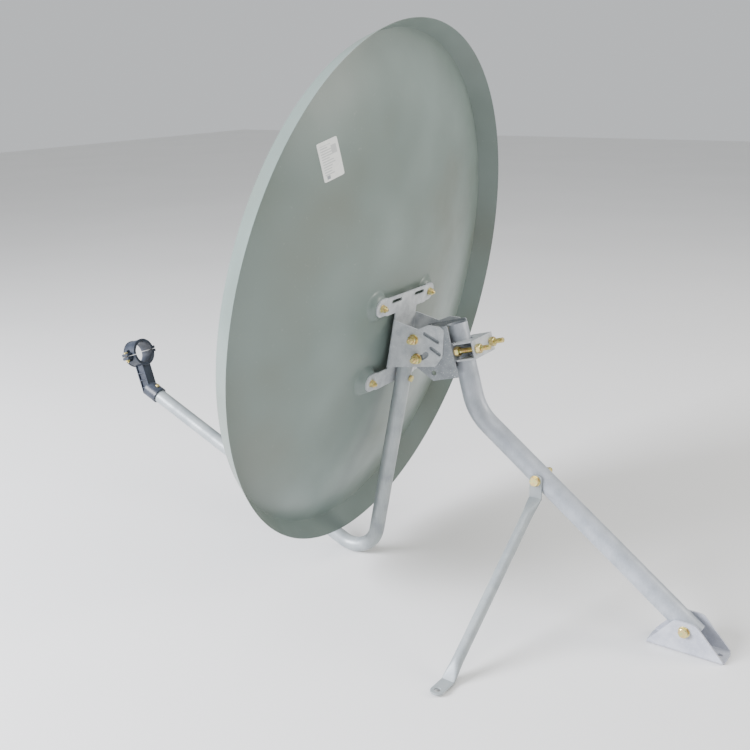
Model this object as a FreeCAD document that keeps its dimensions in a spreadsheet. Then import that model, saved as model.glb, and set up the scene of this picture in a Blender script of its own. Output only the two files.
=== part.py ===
"""Offset satellite dish on a bent mast with a side strut, built as a FreeCAD document.

Frame: +Z up, origin on the ground under the foot pivot, mast in the plane X = 0, reflector facing -Y.
Local frames used below, each a rigid turn of that one:
  mast frame   origin at the foot pivot, +Z along the lower run of the mast
  head frame   origin at the top of the mast, +Z along the upper run, +Y backwards, away from the dish
  dish frame   origin at the centre of the reflector's rim, +Y backwards, +Z up the rim plane
  strut frame  origin on the strut bolt, on the side of the mast, axes as the whole part
"""
import FreeCAD, Part
import math
import os

import Sketcher
from FreeCAD import Placement, Rotation, Vector

SIZES = [
    ("sheet_gauge", 0.7, "reflector sheet"),
    ("focal", 455, "focal length of the reflector"),
    ("beam_radius", 361, "radius of the round beam that the reflector catches"),
    ("beam_offset", 414.7, "beam centre to the paraboloid's own axis"),
    ("rim_depth", 32.5, "how far the rim flange reaches back"),
    ("rim_flare", 18.9, "how far the rim flange spreads outwards"),
    ("pad_back", 70.5, "bracket pads of the reflector, behind the rim plane"),
    ("pad_crown", 15, "radius of a pad's flat"),
    ("pad_foot", 24, "radius of a pad where it leaves the dish"),
    ("fix_across", 144, "fixing holes, side to side"),
    ("fix_above", 4, "upper fixing holes above the rim centre"),
    ("fix_below", 118, "lower fixing holes below the rim centre"),
    ("plate_gauge", 2.5, "pressed steel brackets"),
    ("seat_back", 73, "front of the bracket's main plate, behind the rim plane"),
    ("cheek_out", 35.5, "outer face of the bracket cheeks, from the middle"),
    ("ear_reach", 86, "half width over the bracket's ears"),
    ("ear_half", 14, "half height of an ear strip"),
    ("arm_outer", 25, "arm tube outside diameter"),
    ("arm_wall", 1.5, "arm tube wall"),
    ("arm_top", 50, "top end of the arm below the rim centre"),
    ("arm_top_back", 89.2, "arm axis behind the rim plane at its top end"),
    ("arm_corner_back", 83.7, "arm axis behind the rim plane at the bend"),
    ("arm_corner_drop", 468.6, "corner of the arm's axis below the rim centre"),
    ("arm_rise", 15, "rise of the front run, degrees from the rim normal"),
    ("arm_bend", 50, "bend radius of the arm's axis"),
    ("arm_front", 446, "front end of the arm ahead of the rim plane"),
    ("arm_bolt_upper", 64, "upper arm bolt below the rim centre"),
    ("arm_bolt_lower", 120, "lower arm bolt below the rim centre"),
    ("feed_bore", 40, "bore of the feed clamp"),
    ("feed_wall", 5.5, "wall of the feed clamp"),
    ("feed_width", 30, "length of the feed clamp along its axis"),
    ("feed_ahead", 480, "centre of the feed clamp ahead of the rim plane"),
    ("feed_drop", 264, "centre of the feed clamp below the rim centre"),
    ("feed_split", 1, "gap between the clamp's two halves"),
    ("socket_wall", 3, "wall of the holder's socket over the arm"),
    ("socket_length", 26, "length of the holder's socket"),
    ("neck_long", 58, "holder's neck between the clamp and the socket"),
    ("neck_wide", 20, "holder's neck, across"),
    ("neck_deep", 21, "holder's neck, along the clamp's axis"),
    ("lug_span", 73, "screw lugs of the feed clamp, tip to tip"),
    ("lug_deep", 16, "screw lugs of the feed clamp, along its axis"),
    ("lug_high", 6, "screw lugs of the feed clamp, each half"),
    ("feed_screw", 18, "feed clamp screws under the head"),
    ("set_screw", 7, "holder's set screw under the head"),
    ("set_screw_in", 14, "holder's set screw from the arm's end"),
    ("bore_tool", 60, "length of the cutters for the holder's bores"),
    ("blank_size", 90, "size of the block that halves the feed clamp"),
    ("mast_outer", 32, "mast tube outside diameter"),
    ("mast_wall", 2, "mast tube wall"),
    ("mast_tail", 15, "mast past the foot pivot"),
    ("mast_lower", 432, "foot pivot to the corner of the mast's axis"),
    ("mast_upper", 141, "corner of the mast's axis to its top end"),
    ("mast_bend", 80, "bend radius of the mast's axis"),
    ("mast_turn", 38.2, "turn of the mast's bend, degrees"),
    ("mast_slope", 36.8, "lower run above the ground, degrees"),
    ("strut_along", 294, "foot pivot to the strut bolt along the mast"),
    ("swivel", 3, "head turned about the top of the mast, degrees"),
    ("tilt", 25.2, "rim plane tipped back from the mast's top run, degrees"),
    ("hinge_ahead", 60, "elevation hinge ahead of the mast axis"),
    ("hinge_below", 10, "elevation hinge below the mast's top end"),
    ("hinge_back", 114.3, "elevation hinge behind the rim plane"),
    ("hinge_drop", 41.5, "elevation hinge below the rim centre"),
    ("lock_radius", 30, "elevation hinge to the lock bolt"),
    ("lock_sweep", 36, "turn that the elevation slot allows, degrees"),
    ("lock_lean", 4, "lock bolt ahead of straight below the hinge, degrees"),
    ("clamp_across", 23.1, "clamp bolts from the mast's axis, sideways"),
    ("clamp_below", 40, "clamp bolts below the mast's top end"),
    ("jaw_web", 36.5, "outer face of the rear jaw behind the mast's axis"),
    ("jaw_half", 14, "half height of the rear jaw"),
    ("side_gap", 0.3, "gap between the saddle's and the bracket's cheeks"),
    ("foot_height", 35, "foot pivot above the ground"),
    ("foot_gauge", 3, "foot bracket plate"),
    ("foot_inner", 33.4, "foot bracket between its ears"),
    ("foot_front", 54, "foot bracket ahead of the pivot"),
    ("foot_back", 58, "foot bracket behind the pivot"),
    ("foot_lobe", 14, "radius of the ears round the pivot"),
    ("ear_front", 53, "foot ears at the base, ahead of the pivot"),
    ("ear_back", 56, "foot ears at the base, behind the pivot"),
    ("ear_shoulder", 10.5, "foot ears' slopes end this far from the pivot"),
    ("ear_crown", 44.2, "foot ears' slopes end this high"),
    ("foot_hole_front", 44, "front ground hole ahead of the pivot"),
    ("foot_hole_back", 46, "rear ground hole behind the pivot"),
    ("ground_hole", 9, "ground screw holes"),
    ("strut_outer", 16, "strut tube outside diameter"),
    ("strut_wall", 2, "strut tube wall"),
    ("strut_flat", 3, "thickness of the strut's flattened ends"),
    ("strut_width", 20, "width of the strut's flattened ends"),
    ("strut_reach", 288, "strut's ground hole from the mast's plane"),
    ("strut_ahead", 6.5, "strut's ground hole ahead of the strut bolt"),
    ("strut_stand", 0.4, "strut's upper flat stands off the mast"),
    ("strut_tab", 26, "strut's ground tab, from its bend to the hole"),
    ("strut_clear", 2.5, "strut's ground tab above the ground until it is screwed down"),
    ("strut_drop", 28, "strut's upper flat, from the bolt to the bend"),
    ("strut_neck", 34, "length of each crushed stretch of the strut"),
    ("bolt_wide", 8, "large bolts, thread diameter"),
    ("bolt_wide_head", 13, "large bolts, across flats"),
    ("bolt_slim", 6, "small bolts, thread diameter"),
    ("bolt_slim_head", 10, "small bolts, across flats"),
    ("bolt_feed", 4, "feed holder screws, thread diameter"),
    ("bolt_feed_head", 7, "feed holder screws, across flats"),
    ("thread_past", 9, "large bolts past their nuts"),
    ("slack", 0.05, "radial running clearance of a pivot bolt"),
    ("fit_slim", 0.2, "radial clearance of a small bolt"),
    ("fit_wide", 0.25, "radial clearance of a large bolt that doesn't turn"),
    ("label_wide", 40, "paper label, across"),
    ("label_high", 52, "paper label, high"),
    ("label_side", 186, "paper label from the middle"),
    ("label_up", 226, "paper label above the rim centre"),
    ("label_turn", 16, "paper label turned, degrees"),
]

# Outlines of the pressings as (y, z) in millimetres: the saddle's in the head frame, the bracket's in the
# dish frame.
SADDLE_CHEEK = [(-73, -3), (-68, 2), (-2, 2), (0, 0), (0, -78), (-44, -78), (-52, -70), (-73, -48)]
SADDLE_WEB = (-66, -12)
SADDLE_FRONT, SHELF_MOUTH, SPARE_HOLE = 38, 8, (-40, -66)
JAW_HALF_WIDE, JAW_MOUTH = 33, 4
BRACKET_CHEEK = [(73, -104), (73, -22), (118, -24), (135, -12), (161, -8), (167, -54), (158, -72)]
BRACKET_SLOTS = (((131, -27), (155, -33)), ((146, -46), (161, -51)))
BRACKET_SLIT = ((22, 10), (46, 10))
SLOT_RADIUS = 3
STRIP_HALF = 58.5
BOTH = ("", "-")
WASHER = 1.5
CLAMP_WASHER_RIM = 0.86

doc = FreeCAD.newDocument("satellite_dish")
sheet = doc.addObject("Spreadsheet::Sheet", "Sizes")
for row, (alias, value, note) in enumerate(SIZES, 1):
    sheet.set(f"A{row}", note)
    sheet.set(f"B{row}", str(value))
    sheet.setAlias(f"B{row}", alias)
doc.recompute()

X, Y, Z = Vector(1, 0, 0), Vector(0, 1, 0), Vector(0, 0, 1)
nodes = []


def size(text):
    """Value of an alias or of an expression on the sheet's aliases."""
    return float(sheet.evalExpression(text if "Sizes." in text else f"Sizes.{text}"))


def turned(axis, degrees, at=Vector()):
    return Placement(at, Rotation(axis, degrees))


def shifted(x=0.0, y=0.0, z=0.0):
    return Placement(Vector(x, y, z), Rotation())


def keep(item, place):
    """Make a finished object one of the part's nodes, standing at its place."""
    item.Placement = place
    nodes.append(item)
    return item


# ---------------------------------------------------------------- local frames
beam_tilt = math.degrees(math.atan(size("beam_offset") / 2 / size("focal")))
rim_high = size("beam_radius") / math.cos(math.radians(beam_tilt))
mast_frame = turned(X, 90 - size("mast_slope"), Vector(0, 0, size("foot_height")))
corner = shifted(z=size("mast_lower")) * turned(X, -size("mast_turn"))
head_frame = mast_frame * corner * shifted(z=size("mast_upper")) * turned(Z, size("swivel"))
hinge_frame = head_frame * shifted(y=-size("hinge_ahead"), z=-size("hinge_below"))
dish_frame = hinge_frame * turned(X, -size("tilt")) * shifted(y=-size("hinge_back"), z=size("hinge_drop"))
strut_bolt_at = mast_frame.multVec(Vector(0, 0, size("strut_along")))
strut_frame = Placement(strut_bolt_at + X * size("mast_outer") / 2, Rotation())


# ---------------------------------------------------------------- sketch and feature helpers
def words(points):
    """Points as pairs of expressions."""
    return [tuple(f"{value}" for value in point) for point in points]


def new_body(label):
    body = doc.addObject("PartDesign::Body", label)
    body.Label = label
    return body


def new_sketch(body, name, role, lift=None, offset=None):
    """Sketch on one of the body's own planes, lifted along its normal or set off by a placement."""
    sketch = body.newObject("Sketcher::SketchObject", f"{body.Name}_{name}")
    plane = [item for item in body.Origin.OriginFeatures if item.Role == role][0]
    sketch.AttachmentSupport = [(plane, "")]
    sketch.MapMode = "FlatFace"
    if lift:
        sketch.setExpression("AttachmentOffset.Base.z", lift)
    if offset:
        sketch.AttachmentOffset = offset
    return sketch


def pin(sketch, geometry, vertex, point):
    """Hold a vertex at a point given as two expressions."""
    for kind, text in zip(("DistanceX", "DistanceY"), point):
        value = float(sheet.evalExpression(text))
        index = sketch.addConstraint(Sketcher.Constraint(kind, -1, 1, geometry, vertex, value))
        sketch.setExpression(f"Constraints[{index}]", text)


def add_outline(sketch, points):
    """Closed outline through points given as pairs of expressions."""
    places = [Vector(*(float(sheet.evalExpression(text)) for text in point), 0) for point in points]
    first = sketch.GeometryCount
    count = len(points)
    for index in range(count):
        sketch.addGeometry(Part.LineSegment(places[index], places[(index + 1) % count]), False)
    for index in range(count):
        follower = first + (index + 1) % count
        sketch.addConstraint(Sketcher.Constraint("Coincident", first + index, 2, follower, 1))
    for index, point in enumerate(points):
        pin(sketch, first + index, 1, point)


def add_circle(sketch, point, radius):
    centre = Vector(*(float(sheet.evalExpression(text)) for text in point), 0)
    value = float(sheet.evalExpression(radius))
    geometry = sketch.addGeometry(Part.Circle(centre, Z, value), False)
    pin(sketch, geometry, 3, point)
    index = sketch.addConstraint(Sketcher.Constraint("Radius", geometry, value))
    sketch.setExpression(f"Constraints[{index}]", radius)


def pad(body, sketch, length):
    feature = body.newObject("PartDesign::Pad", f"{sketch.Name}_pad")
    feature.Profile = sketch
    feature.setExpression("Length", length)
    return feature


def plate(body, name, role, lift, outline):
    """Flat plate of bracket gauge standing up from a lifted plane."""
    sketch = new_sketch(body, name, role, lift)
    add_outline(sketch, outline)
    return pad(body, sketch, "Sizes.plate_gauge")


def disc(body, name, role, lift, point, radius, length="Sizes.plate_gauge"):
    sketch = new_sketch(body, name, role, lift)
    add_circle(sketch, point, radius)
    return pad(body, sketch, length)


def cut_through(body, sketch):
    """Pocket a sketch right through the body, both ways."""
    pocket = body.newObject("PartDesign::Pocket", f"{sketch.Name}_cut")
    pocket.Profile = sketch
    pocket.Type = "ThroughAll"
    pocket.Midplane = True
    return pocket


def drill(body, name, role, points, radius):
    sketch = new_sketch(body, name, role)
    for point in points:
        add_circle(sketch, point, radius)
    return cut_through(body, sketch)


def cut_slot(body, name, role, start, end, radius):
    """Straight round-ended slot between two points given as expressions, through the body."""
    sketch = new_sketch(body, name, role)
    first = Vector(*(float(sheet.evalExpression(text)) for text in start), 0)
    last = Vector(*(float(sheet.evalExpression(text)) for text in end), 0)
    along = (last - first).normalize()
    side = Vector(-along.y, along.x, 0) * radius
    sketch.addGeometry(Part.LineSegment(first + side, last + side), False)
    sketch.addGeometry(Part.Arc(last + side, last + along * radius, last - side), False)
    sketch.addGeometry(Part.LineSegment(last - side, first - side), False)
    sketch.addGeometry(Part.Arc(first - side, first - along * radius, first + side), False)
    return cut_through(body, sketch)


def tube(body, start, route, outer, wall):
    """Round tube along straight runs joined by arcs in the body's YZ plane, from a start place."""
    profile = new_sketch(body, "section", "XY_Plane", offset=start)
    add_circle(profile, ("0", "0"), f"{outer} / 2")
    add_circle(profile, ("0", "0"), f"{outer} / 2 - {wall}")
    path = new_sketch(body, "path", "YZ_Plane")
    for edge in route:
        path.addGeometry(edge, False)
    pipe = body.newObject("PartDesign::AdditivePipe", f"{body.Name}_pipe")
    pipe.Profile = profile
    pipe.Spine = (path, [f"Edge{index + 1}" for index in range(len(route))])


def bent_route(start, turn_at, end, radius):
    """Two runs with a tangent arc at the corner between them."""
    inward = (start - turn_at).normalize()
    onward = (end - turn_at).normalize()
    half = inward.getAngle(onward) / 2
    setback = radius / math.tan(half)
    bisector = (inward + onward).normalize()
    middle = turn_at + bisector * (radius / math.sin(half) - radius)
    first = turn_at + inward * setback
    last = turn_at + onward * setback
    return [Part.LineSegment(start, first), Part.Arc(first, middle, last), Part.LineSegment(last, end)]


# ---------------------------------------------------------------- solid helpers
def cylinder(name, radius, height, place=Placement()):
    item = doc.addObject("Part::Cylinder", name)
    item.setExpression("Radius", radius)
    item.setExpression("Height", height)
    item.Placement = place
    return item


def hexagon(name, across, height, place=Placement()):
    item = doc.addObject("Part::Prism", name)
    item.Polygon = 6
    item.setExpression("Circumradius", f"{across} / 2 / cos(30)")
    item.setExpression("Height", height)
    item.Placement = place * turned(Z, 30)
    return item


def fused(name, parts, place=Placement()):
    item = doc.addObject("Part::MultiFuse", name)
    item.Shapes = parts
    item.Placement = place
    return item


def less(name, base, tool, place=Placement()):
    item = doc.addObject("Part::Cut", name)
    item.Base = base
    item.Tool = tool
    item.Placement = place
    return item


def group(label, parts, place):
    """One node of several separate solids."""
    item = doc.addObject("Part::Compound", label)
    item.Label = label
    item.Links = parts
    return keep(item, place)


def hex_bolt(name, bolt, length, place):
    """Hex bolt with its head under the origin and its shank up +Z."""
    high = f"Sizes.{bolt} * 0.65"
    head = hexagon(f"{name}_head", f"Sizes.{bolt}_head", high, shifted(z=-size(high)))
    shank = cylinder(f"{name}_shank", f"Sizes.{bolt} / 2", length)
    return fused(name, [head, shank], place)


def hex_nut(name, bolt, place):
    body = hexagon(f"{name}_body", f"Sizes.{bolt}_head", f"Sizes.{bolt} * 0.8")
    bore = cylinder(f"{name}_bore", f"Sizes.{bolt} / 2 + 0.01", f"Sizes.{bolt} * 0.8")
    return less(name, body, bore, place)


def washer(name, bolt, place, rim=1.05):
    """Washer whose outer radius is the bolt's diameter times rim."""
    body = cylinder(f"{name}_body", f"Sizes.{bolt} * {rim}", "1.5")
    bore = cylinder(f"{name}_bore", f"Sizes.{bolt} / 2 + 0.2", "1.5")
    return less(name, body, bore, place)


ALONG_X = Rotation(Y, 90)
ALONG_BACK_X = Rotation(Y, -90)
ALONG_Y = Rotation(X, -90)
ALONG_BACK_Y = Rotation(X, 90)


def facing(rotation, x=0.0, y=0.0, z=0.0):
    return Placement(Vector(x, y, z), rotation)


# ---------------------------------------------------------------- foot bracket and its pivot
def make_foot():
    body = new_body("foot_bracket")
    half = "(Sizes.foot_inner / 2 + Sizes.foot_gauge)"
    base = new_sketch(body, "base", "XY_Plane")
    add_outline(base, [
        (f"-{half}", "-Sizes.foot_front"),
        (half, "-Sizes.foot_front"),
        (half, "Sizes.foot_back"),
        (f"-{half}", "Sizes.foot_back"),
    ])
    pad(body, base, "Sizes.foot_gauge")
    for side, lift in (("near", "Sizes.foot_inner / 2"), ("far", f"-{half}")):
        ear = new_sketch(body, f"ear_{side}", "YZ_Plane", lift)
        add_outline(ear, [
            ("-Sizes.ear_front", "0"),
            ("Sizes.ear_back", "0"),
            ("Sizes.ear_shoulder", "Sizes.ear_crown"),
            ("-Sizes.ear_shoulder", "Sizes.ear_crown"),
        ])
        pad(body, ear, "Sizes.foot_gauge")
        lobe = ("0", "Sizes.foot_height")
        disc(body, f"lobe_{side}", "YZ_Plane", lift, lobe, "Sizes.foot_lobe", "Sizes.foot_gauge")
    drill(body, "pivot", "YZ_Plane", [("0", "Sizes.foot_height")], "Sizes.bolt_wide / 2 + Sizes.slack")
    ground = [("0", "-Sizes.foot_hole_front"), ("0", "Sizes.foot_hole_back")]
    drill(body, "ground", "XY_Plane", ground, "Sizes.ground_hole / 2")
    keep(body, Placement())


def cross_bolt(names, frame, near, far, y=0.0, z=0.0, head_far=False):
    """Large bolt, nut and washers across X, clamping everything between two faces."""
    bolt_name, nut_name, washer_name = names
    nut_high = size("Sizes.bolt_wide * 0.8")
    length = near - far + 2 * WASHER + nut_high + size("thread_past")
    if head_far:
        bolt_place = facing(ALONG_X, far - WASHER, y, z)
        nut_place = facing(ALONG_X, near + WASHER, y, z)
    else:
        bolt_place = facing(ALONG_BACK_X, near + WASHER, y, z)
        nut_place = facing(ALONG_BACK_X, far - WASHER, y, z)
    group(bolt_name, [hex_bolt(f"{bolt_name}_solid", "bolt_wide", f"{length}", bolt_place)], frame)
    group(nut_name, [hex_nut(f"{nut_name}_solid", "bolt_wide", nut_place)], frame)
    if washer_name:
        group(washer_name, cross_washers(washer_name, near, far, y, z), frame)


def cross_washers(name, near, far, y, z):
    return [
        washer(f"{name}_near", "bolt_wide", facing(ALONG_X, near, y, z)),
        washer(f"{name}_far", "bolt_wide", facing(ALONG_X, far - WASHER, y, z)),
    ]


# ---------------------------------------------------------------- mast
def make_mast():
    body = new_body("mast")
    turn = math.radians(size("mast_turn"))
    lower, upper = size("mast_lower"), size("mast_upper")
    top = Vector(upper * math.sin(turn), lower + upper * math.cos(turn), 0)
    tail = size("mast_tail")
    route = bent_route(Vector(0, -tail, 0), Vector(0, lower, 0), top, size("mast_bend"))
    tube(body, shifted(z=-tail), route, "Sizes.mast_outer", "Sizes.mast_wall")
    holes = [("0", "0"), ("0", "Sizes.strut_along")]
    drill(body, "bolts", "YZ_Plane", holes, "Sizes.bolt_wide / 2 + Sizes.slack")
    keep(body, mast_frame)


# ---------------------------------------------------------------- strut
def make_strut():
    """Tube with crushed ends: one stands against the mast, the other is screwed to the ground."""
    half_flat = size("strut_flat") / 2
    upper = strut_frame * shifted(size("strut_stand") + half_flat, 0, -size("strut_drop"))
    level_at = size("strut_clear") + half_flat
    hole = Vector(size("strut_reach"), strut_frame.Base.y - size("strut_ahead"), level_at)
    heading = Vector(hole.x - upper.Base.x, hole.y - upper.Base.y, 0).normalize()
    lower_base = hole - heading * size("strut_tab")
    along = lower_base - upper.Base
    length = along.Length
    tube_frame = Placement(upper.Base, Rotation(Y.cross(along), Y, along, "ZYX"))

    body = new_body("strut")
    neck = size("strut_neck")
    ring = new_sketch(body, "ring", "XY_Plane", "Sizes.strut_neck")
    add_circle(ring, ("0", "0"), "Sizes.strut_outer / 2")
    add_circle(ring, ("0", "0"), "Sizes.strut_outer / 2 - Sizes.strut_wall")
    pad(body, ring, f"{length} - 2 * Sizes.strut_neck")
    for end, flat_at, round_at in (("top", 0, neck), ("foot", length, length - neck)):
        flat = new_sketch(body, f"crush_{end}", "XY_Plane", f"{flat_at}")
        half_wide = "Sizes.strut_width / 2"
        half_thin = "Sizes.strut_flat / 2"
        corners = [(half_thin, half_wide), (f"-{half_thin}", half_wide)]
        corners += [(f"-{half_thin}", f"-{half_wide}"), (half_thin, f"-{half_wide}")]
        add_outline(flat, corners)
        full = new_sketch(body, f"round_{end}", "XY_Plane", f"{round_at}")
        add_circle(full, ("0", "0"), "Sizes.strut_outer / 2")
        loft = body.newObject("PartDesign::AdditiveLoft", f"strut_loft_{end}")
        loft.Profile = flat
        loft.Sections = [full]
    upright = Rotation(Y, Z, X, "ZXY")
    level = Rotation(heading, Z.cross(heading), Z, "ZXY")
    ends = (
        ("top", upper.Base - X * half_flat, upright, "Sizes.strut_drop"),
        ("foot", lower_base - Z * half_flat, level, "Sizes.strut_tab"),
    )
    for end, base, rotation, reach in ends:
        place = tube_frame.inverse() * Placement(base, rotation)
        sketch = new_sketch(body, f"flat_{end}", "XY_Plane", offset=place)
        half = "Sizes.strut_width / 2"
        if end == "top":
            outline = [(f"-{half}", "-1"), (half, "-1"), (half, reach), (f"-{half}", reach)]
            centre = ("0", reach)
        else:
            outline = [("-1", f"-{half}"), (reach, f"-{half}"), (reach, half), ("-1", half)]
            centre = (reach, "0")
        add_outline(sketch, outline)
        pad(body, sketch, "Sizes.strut_flat")
        lobe = new_sketch(body, f"lobe_{end}", "XY_Plane", offset=place)
        add_circle(lobe, centre, half)
        pad(body, lobe, "Sizes.strut_flat")
        opening = new_sketch(body, f"hole_{end}", "XY_Plane", offset=place)
        radius = "Sizes.bolt_wide / 2 + Sizes.slack" if end == "top" else "Sizes.ground_hole / 2"
        add_circle(opening, centre, radius)
        pocket = body.newObject("PartDesign::Pocket", f"strut_hole_{end}")
        pocket.Profile = opening
        pocket.Reversed = True
        pocket.setExpression("Length", "Sizes.strut_flat * 2")
    keep(body, tube_frame)
    return hole


# ---------------------------------------------------------------- saddle and rear jaw on the mast
def make_saddle():
    body = new_body("mast_saddle")
    inner = "(Sizes.cheek_out - 2 * Sizes.plate_gauge - Sizes.side_gap)"
    outer = f"({inner} + Sizes.plate_gauge)"
    outline = words(SADDLE_CHEEK)
    plate(body, "cheek_near", "YZ_Plane", inner, outline)
    plate(body, "cheek_far", "YZ_Plane", f"-{outer}", outline)
    low, high = (f"{level}" for level in SADDLE_WEB)
    side = f"({inner} + 1)"
    web = [(f"-{side}", low), (side, low), (side, high), (f"-{side}", high)]
    plate(body, "web", "XZ_Plane", f"{SADDLE_FRONT} - Sizes.plate_gauge", web)
    for name, lift in (("shelf_top", f"{high} - Sizes.plate_gauge"), ("shelf_low", low)):
        plate(body, name, "XY_Plane", lift, vee_shelf(side, f"-{SADDLE_FRONT}", f"-{SHELF_MOUTH}", "-"))
    tongue_low = "-Sizes.clamp_below - Sizes.jaw_half"
    tongue_high = "-Sizes.clamp_below + Sizes.jaw_half"
    edge = "(Sizes.clamp_across - Sizes.bolt_wide / 2 - 0.5)"
    for sign, name in (("", "near"), ("-", "far")):
        tongue = [(f"{sign}{side}", tongue_low), (f"{sign}{side}", tongue_high)]
        tongue += [(f"{sign}{edge}", tongue_high), (f"{sign}{edge}", tongue_low)]
        plate(body, f"tongue_{name}", "XZ_Plane", "0", tongue)
    drill(body, "clamps", "XZ_Plane", clamp_points(), "Sizes.bolt_wide / 2 + Sizes.fit_wide")
    pivots = [hinge_words(), lock_words()]
    drill(body, "pivots", "YZ_Plane", pivots, "Sizes.bolt_wide / 2 + Sizes.slack")
    drill(body, "spare", "YZ_Plane", words([SPARE_HOLE]), "Sizes.bolt_wide / 2 + Sizes.fit_wide")
    keep(body, head_frame)


def hinge_words():
    return ("-Sizes.hinge_ahead", "-Sizes.hinge_below")


def lock_words():
    ahead = "-Sizes.hinge_ahead - Sizes.lock_radius * sin(Sizes.lock_lean)"
    below = "-Sizes.hinge_below - Sizes.lock_radius * cos(Sizes.lock_lean)"
    return (ahead, below)


def clamp_points():
    return [("Sizes.clamp_across", "-Sizes.clamp_below"), ("-Sizes.clamp_across", "-Sizes.clamp_below")]


def vee_shelf(half_wide, far_edge, near_edge, side):
    """Shelf with a right-angled notch that takes the mast, notch mouth at near_edge."""
    apex = "((Sizes.mast_outer / 2 + 0.3) * sqrt(2))"
    mouth = f"({apex} - abs({near_edge}))"
    return [
        (f"-({half_wide})", far_edge),
        (half_wide, far_edge),
        (half_wide, near_edge),
        (mouth, near_edge),
        ("0", f"{side}{apex}"),
        (f"-{mouth}", near_edge),
        (f"-({half_wide})", near_edge),
    ]


def make_jaw():
    body = new_body("clamp_jaw")
    half_wide = f"{JAW_HALF_WIDE}"
    low = "-Sizes.clamp_below - Sizes.jaw_half"
    high = "-Sizes.clamp_below + Sizes.jaw_half"
    web = [(f"-{half_wide}", low), (half_wide, low), (half_wide, high), (f"-{half_wide}", high)]
    plate(body, "web", "XZ_Plane", "-Sizes.jaw_web", web)
    for name, lift in (("shelf_low", low), ("shelf_high", f"{high} - Sizes.plate_gauge")):
        plate(body, name, "XY_Plane", lift, vee_shelf(half_wide, "Sizes.jaw_web", f"{JAW_MOUTH}", ""))
    drill(body, "clamps", "XZ_Plane", clamp_points(), "Sizes.bolt_wide / 2 + Sizes.fit_wide")
    keep(body, head_frame)


def make_clamp_fasteners():
    below = -size("clamp_below")
    across = size("clamp_across")
    gauge = size("plate_gauge")
    rear = size("jaw_web")
    nut_high = size("Sizes.bolt_wide * 0.8")
    length = gauge + rear + WASHER + nut_high + size("thread_past") + 6
    bolts = []
    nuts = []
    washers = []
    for name, x in (("near", across), ("far", -across)):
        front = facing(ALONG_Y, x, -gauge, below)
        bolts.append(hex_bolt(f"clamp_bolt_{name}", "bolt_wide", f"{length}", front))
        for place, y in (("stay", 0), ("rear", rear)):
            spot = facing(ALONG_Y, x, y, below)
            washers.append(washer(f"clamp_washer_{name}_{place}", "bolt_wide", spot, CLAMP_WASHER_RIM))
            seat = facing(ALONG_Y, x, y + WASHER, below)
            nuts.append(hex_nut(f"clamp_nut_{name}_{place}", "bolt_wide", seat))
    group("clamp_bolts", bolts, head_frame)
    group("clamp_nuts", nuts, head_frame)
    group("clamp_washers", washers, head_frame)


# ---------------------------------------------------------------- bracket on the reflector
def make_bracket():
    body = new_body("reflector_bracket")
    back = "(Sizes.seat_back + Sizes.plate_gauge)"
    strip = f"{STRIP_HALF}"
    waist = "Sizes.cheek_out"
    high_top = "Sizes.fix_above + Sizes.ear_half"
    high_low = "Sizes.fix_above - Sizes.ear_half"
    low_top = "-Sizes.fix_below + Sizes.ear_half"
    low_low = "-Sizes.fix_below - Sizes.ear_half"
    side = [(strip, low_low), (strip, low_top), (waist, low_top)]
    side += [(waist, high_low), (strip, high_low), (strip, high_top)]
    outline = side + [(f"-{x}", z) for x, z in reversed(side)]
    plate(body, "main", "XZ_Plane", f"-{back}", outline)
    for sign, name in (("", "near"), ("-", "far")):
        for level, centre in (("high", "Sizes.fix_above"), ("low", "-Sizes.fix_below")):
            inner_x = f"{sign}({strip} - Sizes.plate_gauge)"
            outer_x = f"{sign}Sizes.fix_across / 2"
            ear = [(inner_x, f"{centre} - Sizes.ear_half"), (outer_x, f"{centre} - Sizes.ear_half")]
            ear += [(outer_x, f"{centre} + Sizes.ear_half"), (inner_x, f"{centre} + Sizes.ear_half")]
            plate(body, f"ear_{name}_{level}", "XZ_Plane", "-Sizes.seat_back", ear)
            lobe = (outer_x, centre)
            disc(body, f"lobe_{name}_{level}", "XZ_Plane", "-Sizes.seat_back", lobe, "Sizes.ear_half")
    plate(body, "cheek_near", "YZ_Plane", "Sizes.cheek_out - Sizes.plate_gauge", words(BRACKET_CHEEK))
    plate(body, "cheek_far", "YZ_Plane", "-Sizes.cheek_out", words(BRACKET_CHEEK))
    hinge = ("Sizes.hinge_back", "-Sizes.hinge_drop")
    drill(body, "hinge", "YZ_Plane", [hinge], "Sizes.bolt_wide / 2 + Sizes.slack")
    elevation_slot(body)
    for name, ends in zip(("high", "low"), BRACKET_SLOTS):
        cut_slot(body, f"slot_{name}", "YZ_Plane", *words(ends), SLOT_RADIUS)
    for name, sign in (("near", 1), ("far", -1)):
        ends = [(sign * x, z) for x, z in BRACKET_SLIT]
        cut_slot(body, f"slit_{name}", "XZ_Plane", *words(ends), SLOT_RADIUS)
    levels = ("Sizes.fix_above", "-Sizes.fix_below")
    corners = [(f"{sign}Sizes.fix_across / 2", level) for sign in BOTH for level in levels]
    drill(body, "ears", "XZ_Plane", corners, "Sizes.bolt_slim / 2 + Sizes.fit_slim")
    arm = [("0", "-Sizes.arm_bolt_upper"), ("0", "-Sizes.arm_bolt_lower")]
    drill(body, "arm", "XZ_Plane", arm, "Sizes.bolt_slim / 2 + Sizes.fit_slim")
    keep(body, dish_frame)


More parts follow.
